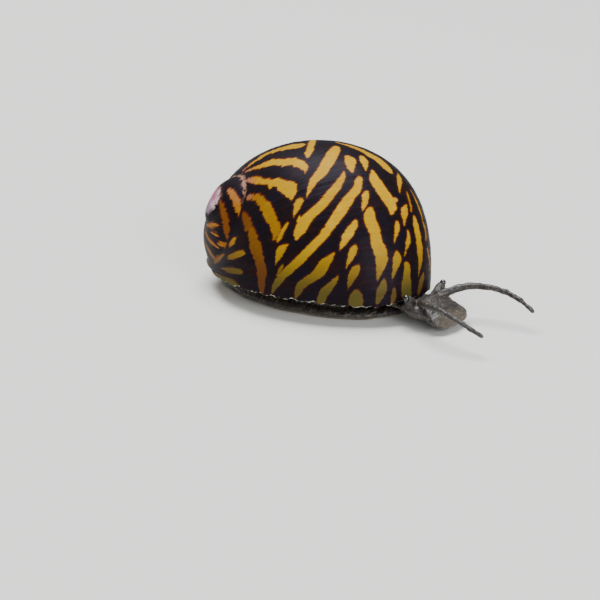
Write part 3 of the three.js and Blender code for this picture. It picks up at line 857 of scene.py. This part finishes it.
class Look:
    """A material whose nodes are added one by one."""

    def __init__(self, name, **fixed):
        self.material = bpy.data.materials.new(name)
        self.material.use_nodes = True
        self.tree = self.material.node_tree
        self.shader = self.tree.nodes["Principled BSDF"]
        for key, value in fixed.items():
            self.shader.inputs[SOCKETS[key]].default_value = value

    def feed(self, socket, value):
        if isinstance(value, bpy.types.NodeSocket):
            self.tree.links.new(value, socket)
        else:
            socket.default_value = value

    def node(self, kind, *entries, **settings):
        """A node with its settings, and its first sockets fed in order."""
        node = self.tree.nodes.new("ShaderNode" + kind)
        for name, value in settings.items():
            setattr(node, name, value)
        for socket, entry in zip(node.inputs, entries):
            self.feed(socket, entry)
        return node

    def value(self, name, output="Fac"):
        return self.node("Attribute", attribute_name=name).outputs[output]

    def place(self):
        """The place on the object, in millimetres."""
        return self.stretched(self.node("TexCoord").outputs["Object"], (1 / MM,) * 3)

    def stretched(self, vector, shares):
        return self.node("VectorMath", vector, shares, operation="MULTIPLY").outputs[0]

    def part(self, vector, axis):
        return self.node("SeparateXYZ", vector).outputs[axis]

    def calc(self, operation, a, b):
        return self.node("Math", a, b, operation=operation).outputs[0]

    def sum(self, *values):
        total = values[0]
        for value in values[1:]:
            total = self.calc("ADD", total, value)
        return total

    def times(self, a, b):
        return self.calc("MULTIPLY", a, b)

    def swing(self, value, reach):
        """A value between 0 and 1, moved to lie about zero and scaled to a reach."""
        return self.times(self.calc("SUBTRACT", value, 0.5), reach)

    def fade(self, value, start, end, low=0.0, high=1.0):
        """Runs from low to high while the value runs from start to end."""
        entries = (value, start, end, low, high)
        return self.node("MapRange", *entries, interpolation_type="SMOOTHSTEP").outputs[0]

    def noise(self, vector, scale, detail, roughness):
        node = self.node("TexNoise", vector)
        for name, entry in (("Scale", scale), ("Detail", detail), ("Roughness", roughness)):
            self.feed(node.inputs[name], entry)
        return node.outputs[0]

    def streaks(self, vector, shares, detail, roughness):
        """A noise drawn out by a share along each axis."""
        return self.noise(self.stretched(vector, shares), 1.0, detail, roughness)

    def cell_edges(self, vector, scale):
        """How far places lie from the edges of a net of cells."""
        node = self.node("TexVoronoi", vector, feature="DISTANCE_TO_EDGE")
        self.feed(node.inputs["Scale"], scale)
        return node.outputs["Distance"]

    def blend(self, share, a, b):
        node = self.node("Mix", share, data_type="RGBA")
        self.feed(node.inputs[6], a)
        self.feed(node.inputs[7], b)
        return node.outputs[2]

    def tint(self, base, value, start, end, most, other):
        """The base, turned into another colour by up to a share as the value runs from start to end."""
        return self.blend(self.fade(value, start, end, 0.0, most), base, other)

    def bump(self, height, distance, normal=None):
        """A bump raised by a distance in millimetres, or cut in if that is negative, over another bump."""
        node = self.node("Bump")
        node.inputs["Distance"].default_value = distance * MM
        self.feed(node.inputs["Height"], height)
        if normal is not None:
            self.feed(node.inputs["Normal"], normal)
        return node.outputs[0]

    def put_on(self, *objects, **varied):
        for key, value in varied.items():
            self.feed(self.shader.inputs[SOCKETS[key]], value)
        for obj in objects:
            obj.data.materials.append(self.material)


SHEEN_LILAC = colour(206, 194, 255)
GROUND_DARK = colour(19, 13, 13)
GROUND_WARM = colour(30, 14, 12)
PAINTED_SHEEN_BLUE = colour(17, 14, 29)
GROUND_GREY = colour(40, 34, 44)
RUST = colour(92, 34, 6)
GOLD = colour(175, 137, 0)
GOLD_PALE = colour(194, 158, 40)
GOLD_WARM = colour(178, 106, 10)
EDGE_BROWN = colour(122, 62, 10)
PINK_TAN = colour(150, 96, 88)
AMBER = colour(170, 96, 18)
OLIVE_AND_SHADE = colour(74, 68, 26)
DEEP_BROWN = colour(84, 40, 14)
WORN_PINK = colour(176, 92, 104)
WORN_WHITE = colour(206, 182, 186)
WORN_LILAC = colour(150, 118, 164)
WORN_GREY = colour(84, 80, 96)
SUTURE_TAN = colour(172, 128, 106)
LIP_PALE = colour(160, 162, 144)
PORCELAIN = colour(152, 148, 136)


def dress_shell():
    look = Look("shell", gloss=0.065, gloss_tint=SHEEN_LILAC, coat=0.02, coat_roughness=0.2)
    place = look.place()
    height = look.part(place, "Z")
    coil = look.value("coil", "Vector")
    lines = look.streaks(coil, (3.2, 0.22, 1), 4.0, 0.6)
    steps = look.streaks(coil, (1.15, 0.17, 1), 2.0, 0.65)
    fine_lines = look.streaks(coil, (11, 0.5, 1), 2.0, 0.5)
    striae = look.streaks(coil, (0.15, 4.0, 1), 2.0, 0.5)
    blotch = look.noise(place, 0.55, 3.0, 0.6)
    fleck = look.noise(place, 5.0, 3.0, 0.6)
    chips = look.noise(place, 2.2, 4.0, 0.65)
    worn_off = look.value("worn")
    suture = look.value("suture")
    bright = look.fade(height, 4.0, 9.0)
    exposed = look.fade(look.sum(height, look.swing(chips, 3.0)), 9.2, 10.9)

    # Where the bands lie, with comb-like edges that get rougher towards the spire
    step_reach = look.fade(worn_off, 13.0, 6.5, 0.3, 0.95)
    ragged = look.sum(look.swing(steps, step_reach), look.swing(lines, 0.25), look.swing(fleck, 0.14))
    gold_edge = look.sum(look.value("gold"), ragged)
    earlier_edge = look.sum(look.value("earlier"), ragged)
    gold_share = look.fade(gold_edge, 0.045, -0.045)
    rust_share = look.times(look.fade(earlier_edge, 0.06, -0.04), 0.8)
    halo = look.fade(gold_edge, 0.22, 0.0, 0.0, 0.35)
    rust_share = look.times(look.calc("MAXIMUM", halo, rust_share), look.fade(bright, 0.0, 1.0, 0.35, 1.0))

    ground = look.tint(GROUND_DARK, blotch, 0.5, 0.7, 1.0, GROUND_WARM)
    # Painted reflection: bluish patches, put at random over the dark ground, stand in for a bluish sheen of
    # the sky on it
    ground = look.tint(ground, blotch, 0.5, 0.36, 0.45, PAINTED_SHEEN_BLUE)
    ground = look.tint(ground, fine_lines, 0.45, 0.75, 0.15, GROUND_GREY)
    ground = look.blend(rust_share, ground, RUST)

    # Painted shade: towards the rim the gold turns a darker olive, partly a real shift of hue and partly the
    # shade on the low sides
    gold = look.tint(GOLD, height, 8.8, 3.0, 1.0, OLIVE_AND_SHADE)
    near_spire = look.fade(worn_off, 9.0, 2.5)
    gold = look.tint(gold, near_spire, 0.0, 1.0, 0.7, AMBER)
    gold = look.blend(look.times(look.fade(lines, 0.4, 0.75, 0.0, 0.4), bright), gold, GOLD_WARM)
    gold = look.blend(look.times(look.fade(blotch, 0.5, 0.35, 0.0, 0.35), bright), gold, GOLD_PALE)
    edge_share = look.times(look.fade(gold_edge, -0.12, 0.0), look.fade(bright, 0.0, 1.0, 0.15, 0.55))
    gold = look.blend(edge_share, gold, EDGE_BROWN)
    gold = look.tint(gold, fine_lines, 0.5, 0.8, 0.25, DEEP_BROWN)
    gold = look.blend(look.value("tone"), DEEP_BROWN, gold)
    rubbed = look.fade(look.sum(suture, look.swing(chips, 1.5)), 1.2, 0.4, 0.0, 0.7)
    gold = look.blend(look.times(rubbed, exposed), gold, PINK_TAN)
    skin = look.blend(gold_share, ground, gold)

    suture_edge = look.sum(suture, look.swing(chips, 1.1))
    suture_share = look.times(look.fade(suture_edge, 0.2, 0.02, 0.0, 0.8), exposed)
    skin = look.blend(suture_share, skin, SUTURE_TAN)
    worn_edge = look.sum(worn_off, look.swing(chips, 1.9), look.swing(fleck, 0.5))
    worn_share = look.fade(worn_edge, 1.62, 1.3)
    worn = look.tint(WORN_PINK, blotch, 0.4, 0.62, 1.0, WORN_WHITE)
    worn = look.tint(worn, chips, 0.46, 0.6, 0.7, WORN_LILAC)
    worn = look.tint(worn, fleck, 0.5, 0.65, 0.4, WORN_WHITE)
    worn = look.tint(worn, height, 9.0, 8.2, 0.7, WORN_GREY)
    skin = look.blend(worn_share, skin, worn)
    lip_edge = look.sum(look.value("lip"), look.swing(chips, 0.7))
    skin = look.tint(skin, lip_edge, 0.03, -0.03, 1.0, LIP_PALE)
    skin = look.tint(skin, look.value("inside"), 0.5, 1.0, 0.85, PORCELAIN)

    bump = look.bump(lines, -0.035)
    bump = look.bump(steps, -0.05, bump)
    bump = look.bump(fine_lines, -0.012, bump)
    bump = look.bump(striae, -0.015, bump)
    bump = look.bump(worn_share, 0.12, bump)
    bump = look.bump(fleck, -0.012, bump)
    roughness = look.sum(look.fade(lines, 0.3, 0.7, 0.4, 0.54), look.times(worn_share, 0.25))
    look.put_on(shell, colour=skin, normal=bump, roughness=roughness)


dress_shell()


# The flesh: one skin over the foot, the mantle, the neck, head and snout, the tentacles and the eye stalks

FOOT_BACK = APEX[0] - 1.2
FOOT_FRONT = APEX[0] + 20.2
FOOT_HALF_WIDTH = 6.4
# Low waves round the foot's edge: how many there are, their share of the depth, and where they start
FOOT_WAVE = 0.008
FOOT_WAVES = ((7, 1.0, 0.6), (13, 0.7, 2.1), (19, 0.5, 0.0))
STALK = (APEX[0] + 13.2, APEX[1] + 1.6)
STALK_HALF_X = 3.3
STALK_HALF_Y = 2.6
MANTLE_BOTTOM = RIM_HEIGHT + 0.9
STALK_TOP = MANTLE_BOTTOM + 0.4
MANTLE_TOP = RIM_HEIGHT + 2.4
MANTLE_INSET = 1.5
MANTLE_FROM = 0.2
MANTLE_REACH = 14
MANTLE_STEP = 0.1
MANTLE_SLACK = 0.15
MANTLE_SMOOTHING = 3
MANTLE_SIDES = 120
DECK_GAP = 0.7
DECK_EDGE_BACK = np.array([APEX[0] + 4.8, APEX[1] - 1.6])
DECK_EDGE_FRONT = np.array([APEX[0] + 14.6, APEX[1] + 9.1])

# Each level of the foot: its height, its size against the sole's, and how far it leans to the stalk
FOOT_LEVELS = [
    (0.02, 0.94, 0),
    (0.12, 0.975, 0),
    (0.3, 0.995, 0),
    (0.5, 1.0, 0),
    (0.7, 0.98, 0.01),
    (0.88, 0.92, 0.05),
    (1.03, 0.8, 0.15),
    (1.18, 0.6, 0.42),
    (1.35, 0.46, 0.65),
    (1.6, 0.4, 0.9),
]

# The neck, head and snout: each station's place ahead of the apex, half width, half height and height
HEAD_FRONT = APEX[0] + 26.85
HEAD_STATIONS = [
    (14.5, 2.0, 0.6, 2.1),
    (17.2, 2.2, 0.62, 2.08),
    (19.6, 2.35, 0.52, 1.86),
    (21.4, 2.25, 0.48, 1.78),
    (22.25, 2.48, 0.54, 1.74),
    (22.85, 2.68, 0.85, 1.76),
    (23.5, 2.82, 1.08, 1.76),
    (24.1, 2.74, 1.08, 1.7),
    (24.75, 2.48, 0.97, 1.55),
    (25.5, 2.63, 0.9, 1.3),
    (26.1, 2.5, 0.7, 1.1),
    (26.6, 2.05, 0.45, 0.95),
    (26.85, 1.3, 0.2, 0.9),
]

# Each tentacle: how far it has come forward, how far out from the midline, and its height
TENTACLE_ROUTE = [
    (23.1, 1.0, 2.0),
    (23.85, 1.7, 2.6),
    (25.6, 3.4, 3.25),
    (28.1, 4.3, 3.35),
    (30.6, 4.55, 2.8),
    (32.7, 4.25, 1.9),
]
TENTACLE_ROOT = 0.46
TENTACLE_TIP = 0.2
TIP_ROUNDING = 0.015
TIP_END = 0.04
EYE_RADIUS = 0.32
EYE_STALK_X = APEX[0] + 23.0
EYE_STALK_ROUTE = [(1.45, 1.7), (1.75, 2.0), (2.35, 2.6), (2.85, 3.1)]
EYE_STALK_RADII = (0.66, 0.62, 0.53, 0.4)
EYE_PLACE = (2.95, 3.2)

# Each level of the mantle: its height and its size against the opening's
MANTLE_LEVELS = [
    (MANTLE_BOTTOM, 0.8),
    (MANTLE_BOTTOM + 0.15, 0.93),
    (MANTLE_BOTTOM + 0.5, 1),
    (MANTLE_TOP, 1),
]

# The lips of the mouth: each one's middle ahead of the apex and over the floor, and its half sizes
MOUTH_LIPS = [
    (26.35, 1.0, (0.6, 1.75, 0.26)),
    (25.8, 0.58, (0.5, 1.3, 0.24)),
]

SKIN_CELL = 0.09
FOLD_COUNT = 40
FOLD_LENGTHS = (0.35, 1.3)
FOLD_STRETCH = (1.4, 0.8, 1.0)
FOLD_DEPTH = 0.05
FOLD_FADE = (0.05, 0.6)


def foot_rings():
    middle = (FOOT_BACK + FOOT_FRONT) / 2
    half = (FOOT_FRONT - FOOT_BACK) / 2
    turn = TURN * np.arange(FOOT_SIDES) / FOOT_SIDES
    wave = 1 + FOOT_WAVE * sum(share * np.sin(count * turn + start) for count, share, start in FOOT_WAVES)
    rings = []
    for z, size, lean in through(FOOT_LEVELS, steps=3):
        x = middle + (STALK[0] - middle) * lean
        y = MIDLINE + (STALK[1] - MIDLINE) * lean
        ring = level_oval(x, y, z, half * size, FOOT_HALF_WIDTH * size)
        ring[:, :2] = (x, y) + (ring[:, :2] - (x, y)) * wave[:, None]
        rings.append(ring)
    rings.append(level_oval(*STALK, STALK_TOP, STALK_HALF_X, STALK_HALF_Y))
    return rings


def mantle_rings():
    """Level outlines of the flesh in the opening, between the lip's inside and the deck's edge."""
    edge = unit(DECK_EDGE_FRONT - DECK_EDGE_BACK)
    ahead = np.array([edge[1], -edge[0]])
    ways = np.stack(circle(MANTLE_SIDES), axis=-1)
    rings = []
    for z, size in MANTLE_LEVELS:
        reach = np.zeros(MANTLE_SIDES)
        for step in np.arange(MANTLE_FROM, MANTLE_REACH, MANTLE_STEP):
            places = np.array(STALK) + ways * step
            points = np.column_stack([places, np.full(MANTLE_SIDES, z)])
            in_opening = shell_distance(points)[0] < -MANTLE_INSET
            free = in_opening & ((places - DECK_EDGE_BACK) @ ahead > DECK_GAP)
            reach = np.where(free & (reach >= step - MANTLE_SLACK), step, reach)
        nearby = range(-MANTLE_SMOOTHING, MANTLE_SMOOTHING + 1)
        smooth = sum(np.roll(reach, k) for k in nearby) / len(nearby)
        ring = np.array(STALK) + ways * (smooth * size)[:, None]
        rings.append(np.column_stack([ring, np.full(MANTLE_SIDES, z)]))
    return rings


def head_rings():
    return [upright_oval(APEX[0] + x, MIDLINE, z, half_y, half_z)
            for x, half_y, half_z, z in through(HEAD_STATIONS, steps=5)]


def tentacle(side):
    route = through([(APEX[0] + x, MIDLINE + side * y, z) for x, y, z in TENTACLE_ROUTE], steps=12)
    share = np.linspace(0, 1, len(route))
    radii = TENTACLE_ROOT + (TENTACLE_TIP - TENTACLE_ROOT) * share
    radii *= np.sqrt(np.clip(1 - ((share - 1 + TIP_ROUNDING) / TIP_ROUNDING).clip(0, 1)**2, TIP_END, 1))
    return limb(route, radii)


def eye_stalk(side):
    stations = [(EYE_STALK_X, MIDLINE + side * out, height, radius)
                for (out, height), radius in zip(EYE_STALK_ROUTE, EYE_STALK_RADII)]
    rows = through(stations, steps=6)
    return limb(rows[:, :3], rows[:, 3])


def joined(name, solids):
    """One mesh object, left in millimetres, that holds several closed solids."""
    points, faces = [], []
    for solid_points, solid_faces in solids:
        faces += [tuple(len(points) + k for k in face) for face in solid_faces]
        points += solid_points
    return mesh_object(name, points, faces, scale=1)


def applied(obj):
    """Turns an object's modifiers into its mesh."""
    graph = bpy.context.evaluated_depsgraph_get()
    mesh = bpy.data.meshes.new_from_object(obj.evaluated_get(graph))
    obj.modifiers.clear()
    obj.data = mesh


def ripples(points, count, lengths, stretch):
    """A smooth random height at places, made of waves that run through space in all directions."""
    total = np.zeros(len(points))
    for _ in range(count):
        way = unit(rng.normal(size=3)) * stretch
        length = rng.uniform(*lengths)
        total += np.sin(points @ way * TURN / length + rng.uniform(0, TURN)) * length
    return total / (math.sqrt(count) * lengths[1])


def build_skin():
    solids = [loft(foot_rings()), loft(mantle_rings()), loft(head_rings())]
    for ahead, height, half_sizes in MOUTH_LIPS:
        solids.append(ball((APEX[0] + ahead, MIDLINE, height), half_sizes, sides=40, count=14))
    for side in (1, -1):
        solids += [tentacle(side), eye_stalk(side)]
    skin = joined("skin", solids)
    remesh = skin.modifiers.new("remesh", "REMESH")
    remesh.mode = "VOXEL"
    remesh.voxel_size = SKIN_CELL
    smooth = skin.modifiers.new("smooth", "SMOOTH")
    smooth.factor = 0.5
    smooth.iterations = 6
    applied(skin)
    points = vertex_rows(skin, "co")
    folds = ripples(points, FOLD_COUNT, FOLD_LENGTHS, FOLD_STRETCH) * smoothstep(points[:, 2], *FOLD_FADE)
    points = points + vertex_rows(skin, "normal") * folds[:, None] * FOLD_DEPTH
    points[:, 2] = np.maximum(points[:, 2], 0)
    skin.data.shade_smooth()
    move_vertices(skin, points * MM)
    return skin


skin = build_skin()
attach(skin, "root")
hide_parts("mantle", "foot_tail", "foot_middle", "foot_front", "neck", "head", "snout")
for word in ("left", "right"):
    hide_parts(*(f"tentacle_{word}_{part}" for part in ("root", "middle", "tip")),
                f"eye_stalk_{word}")


# Eyes

def build_eye(word, side):
    centre = (EYE_STALK_X, MIDLINE + side * EYE_PLACE[0], EYE_PLACE[1])
    eye = mesh_object(f"eye_{word}_ball", *ball(centre, EYE_RADIUS, sides=32, count=20))
    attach(eye, "root")
    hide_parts(f"eye_{word}")
    return eye


eyes = [build_eye("left", 1), build_eye("right", -1)]


# The callus deck and the operculum

DECK_CENTRE = np.array([APEX[0] + 10, APEX[1] + 4.9])
DECK_HALF_X = 11.3
DECK_HALF_Y = 6.6
DECK_ROUNDING = 0.5
DECK_SIDES = 720
DECK_SEAT = np.array([APEX[0] + 6.5, APEX[1] + 6.0])
TOOTH_COUNT = 6
TOOTH_REACH = 0.36
TEETH_FROM = 0.38
TEETH_TO = 0.68
TEETH_FADE = 0.6
TOOTH_CURVE = 0.7
LEAST_TOWARD = 0.3
NEARLY_ALONG = 1e-3

# Each ring of the deck: its share of the outline's reach, and its height over the rim
DECK_RINGS = [
    (0.02, 0.10), (0.2, 0.09), (0.4, 0.07), (0.6, 0.04), (0.75, 0.02), (0.86, 0.0), (0.93, 0.0),
    (0.97, 0.03), (0.99, 0.12), (1.0, 0.3), (1.0, 0.8), (0.985, 1.15), (0.95, 1.28), (0.5, 1.3), (0.02, 1.3),
]


def deck_outline():
    """The reach of the deck from a place on it, round the oval and along the toothed straight edge."""
    ways = np.stack(circle(DECK_SIDES), axis=-1)
    half = np.array([DECK_HALF_X, DECK_HALF_Y])
    q = (DECK_SEAT - DECK_CENTRE) / half
    w = ways / half
    a = (w**2).sum(axis=-1)
    b = (w * q).sum(axis=-1)
    oval = (-b + np.sqrt(b**2 - a * ((q**2).sum() - 1))) / a
    span = np.linalg.norm(DECK_EDGE_FRONT - DECK_EDGE_BACK)
    edge = (DECK_EDGE_FRONT - DECK_EDGE_BACK) / span
    ahead = np.array([edge[1], -edge[0]])
    toward = ways @ ahead
    room = (DECK_EDGE_BACK - DECK_SEAT) @ ahead
    straight = np.where(toward > NEARLY_ALONG, room / np.maximum(toward, NEARLY_ALONG), FAR)
    meet = DECK_SEAT + ways * straight[:, None]
    share = ((meet - DECK_EDGE_BACK) @ edge) / span
    last = TOOTH_COUNT - 1
    phase = (share - TEETH_FROM) / (TEETH_TO - TEETH_FROM) * last
    row = smoothstep(phase, -TEETH_FADE, 0) * (1 - smoothstep(phase, last, last + TEETH_FADE))
    tooth = np.maximum(np.cos(math.pi * (phase - np.round(phase))), 0)**TOOTH_CURVE * row
    straight = straight + TOOTH_REACH * tooth / np.maximum(toward, LEAST_TOWARD)
    return ways, smooth_min(oval, straight, DECK_ROUNDING)


def build_deck():
    ways, reach = deck_outline()
    rings = []
    for share, rise in DECK_RINGS:
        place = DECK_SEAT + ways * (reach * share)[:, None]
        rings.append(np.column_stack([place, np.full(DECK_SIDES, RIM_HEIGHT + rise)]))
    deck = mesh_object("deck", *loft(rings))
    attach(deck, "root")
    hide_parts("shell_deck")
    return deck


deck = build_deck()

OPERCULUM_CENTRE = np.array([APEX[0] + 2.2, MIDLINE - 0.4, 1.45])
OPERCULUM_HALF_X = 3.2
OPERCULUM_HALF_Y = 3.1
OPERCULUM_STRAIGHT_SIDE = 0.62
OPERCULUM_THICKNESS = 0.5
OPERCULUM_NUCLEUS = np.array([-1.5, 0.9])
OPERCULUM_SIDES = 180

# Its underside and edge as shares of the outline with rises, then the shares of the rings on its top
OPERCULUM_EDGE = ((0.05, 0.0), (0.8, 0.0), (0.95, 0.06), (1.0, 0.2))
OPERCULUM_RINGS = np.linspace(0.99, 0.02, 60)
OPERCULUM_DOMING = 0.55
RIDGE_HEIGHT = 0.018
RIDGE_RATE = 75


def build_operculum():
    """A lid with growth lines that close in on one corner."""
    cos, sin = circle(OPERCULUM_SIDES)
    reach = np.where(sin > 0, OPERCULUM_STRAIGHT_SIDE, 1)
    rim = np.stack([OPERCULUM_HALF_X * cos, OPERCULUM_HALF_Y * reach * sin], axis=-1)
    levels = [(rim * share, rise) for share, rise in OPERCULUM_EDGE]
    for share in OPERCULUM_RINGS:
        ridge = RIDGE_HEIGHT * math.sin(share * RIDGE_RATE)
        rise = OPERCULUM_THICKNESS * (1 - OPERCULUM_DOMING * share**3) + ridge
        levels.append((OPERCULUM_NUCLEUS * (1 - share) + rim * share, rise))
    rings = [np.column_stack([ring, np.full(OPERCULUM_SIDES, rise)]) for ring, rise in levels]
    lid = mesh_object("lid", *loft([ring + OPERCULUM_CENTRE for ring in rings]))
    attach(lid, "root")
    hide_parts("operculum")
    return lid


lid = build_operculum()

# Looks of the soft parts and small pieces

FLESH_DARK = colour(20, 17, 18)
FLESH_BROWN = colour(46, 38, 33)
FLESH_PALE = colour(112, 100, 82)
FLESH_SOLE = colour(116, 106, 90)
EYE_BLACK = colour(6, 5, 6)
EYE_BROWN = colour(34, 20, 12)
DECK_CREAM = colour(206, 196, 166)
DECK_STAIN = colour(184, 130, 60)
LID_GREY = colour(120, 108, 96)
LID_DARK = colour(52, 38, 34)
LID_RED = colour(120, 58, 34)


def dress_skin():
    look = Look("flesh", gloss=0.45, coat=0.25, coat_roughness=0.25, depth=0.08, depth_scale=0.0004)
    place = look.place()
    height = look.part(place, "Z")
    mottle = look.noise(place, 0.9, 4.0, 0.6)
    grain = look.noise(place, 6.0, 3.0, 0.6)
    lines = look.streaks(place, (6.5, 1.6, 2.0), 4.0, 0.6)
    net = look.cell_edges(place, 3.4)
    folds = look.streaks(place, (2.0, 0.55, 1.1), 3.0, 0.6)

    tone = look.tint(FLESH_DARK, mottle, 0.38, 0.66, 1.0, FLESH_BROWN)
    tone = look.tint(tone, lines, 0.52, 0.66, 0.5, FLESH_PALE)
    tone = look.tint(tone, net, 0.08, 0.0, 0.75, FLESH_DARK)
    tone = look.tint(tone, grain, 0.62, 0.72, 0.5, FLESH_PALE)
    tone = look.tint(tone, look.sum(height, look.swing(mottle, 0.5)), 0.42, 0.2, 0.85, FLESH_SOLE)
    snout = look.fade(look.part(place, "X"), HEAD_FRONT - 1.4, HEAD_FRONT - 0.2, 0.0, 0.35)
    tone = look.blend(look.times(snout, look.fade(height, 2.4, 1.6)), tone, FLESH_PALE)

    bump = look.bump(folds, 0.22)
    bump = look.bump(net, 0.1, bump)
    bump = look.bump(grain, 0.05, bump)
    roughness = look.fade(grain, 0.3, 0.7, 0.34, 0.55)
    look.put_on(skin, colour=tone, normal=bump, roughness=roughness)


def dress_eyes():
    look = Look("eye", roughness=0.12, coat=0.8, coat_roughness=0.05)
    ring = look.noise(look.place(), 5.0, 2.0, 0.5)
    tone = look.tint(EYE_BLACK, ring, 0.5, 0.75, 1.0, EYE_BROWN)
    look.put_on(*eyes, colour=tone, normal=look.bump(ring, 0.004))


def dress_deck():
    look = Look("callus", gloss=0.5, coat=0.35, coat_roughness=0.15)
    place = look.place()
    cloud = look.noise(place, 0.35, 4.0, 0.55)
    ripple = look.streaks(place, (0.8, 3.2, 1), 3.0, 0.5)
    pit = look.noise(place, 5.0, 3.0, 0.6)
    tone = look.tint(DECK_CREAM, cloud, 0.45, 0.75, 0.8, DECK_STAIN)
    tone = look.tint(tone, ripple, 0.55, 0.75, 0.25, DECK_STAIN)
    bump = look.bump(pit, -0.01, look.bump(ripple, -0.03))
    look.put_on(deck, colour=tone, normal=bump, roughness=look.fade(pit, 0.3, 0.7, 0.22, 0.36))


def dress_lid():
    look = Look("operculum", gloss=0.4)
    place = look.place()
    cloud = look.noise(place, 0.9, 4.0, 0.6)
    pit = look.noise(place, 7.0, 3.0, 0.6)
    streak = look.streaks(place, (0.5, 4.0, 1), 3.0, 0.6)
    tone = look.tint(LID_DARK, cloud, 0.4, 0.65, 1.0, LID_GREY)
    tone = look.tint(tone, streak, 0.52, 0.7, 0.6, LID_RED)
    bump = look.bump(pit, 0.02, look.bump(streak, 0.03))
    look.put_on(lid, colour=tone, normal=bump, roughness=look.fade(pit, 0.3, 0.7, 0.42, 0.62))


dress_skin()
dress_eyes()
dress_deck()
dress_lid()


# Stage, light and camera

FLOOR_HALF = 1500
FLOOR_GREY = (0.72, 0.72, 0.70, 1)
SKY_COLOUR = (0.85, 0.88, 0.92, 1)
SKY_STRENGTH = 0.34
LIGHT_AIM = np.array([0, 0, 5])


def aimed(name, data, place, toward):
    """A camera or light at a place in millimetres, which looks along a direction."""
    obj = linked(name, data)
    obj.location = Vector(place) * MM
    obj.rotation_mode = "QUATERNION"
    obj.rotation_quaternion = Vector(toward).to_track_quat("-Z", "Y")
    return obj


def add_camera():
    data = bpy.data.cameras.new("camera")
    data.lens = LENS
    data.sensor_width = SENSOR
    data.clip_start = 0.01
    data.clip_end = 10
    bpy.context.scene.camera = aimed("camera", data, camera_place, camera_ahead)


def add_floor():
    corners = [(x * FLOOR_HALF, y * FLOOR_HALF, 0) for x, y in ((-1, -1), (1, -1), (1, 1), (-1, 1))]
    floor = mesh_object("floor", corners, [(0, 1, 2, 3)])
    Look("floor", colour=FLOOR_GREY, roughness=0.75).put_on(floor)


def add_light(name, place, size, power):
    """A round soft light that looks at the object."""
    data = bpy.data.lights.new(name, "AREA")
    data.shape = "DISK"
    data.size = size * MM
    data.energy = power
    aimed(name, data, place, LIGHT_AIM - np.array(place))


def add_world():
    world = bpy.data.worlds.new("world")
    world.use_nodes = True
    background = world.node_tree.nodes["Background"]
    background.inputs["Color"].default_value = SKY_COLOUR
    background.inputs["Strength"].default_value = SKY_STRENGTH
    bpy.context.scene.world = world


add_camera()
add_floor()
add_world()
add_light("key", place=(-140, 60, 560), size=460, power=6.45)
add_light("fill", place=(480, -240, 240), size=360, power=3.1)
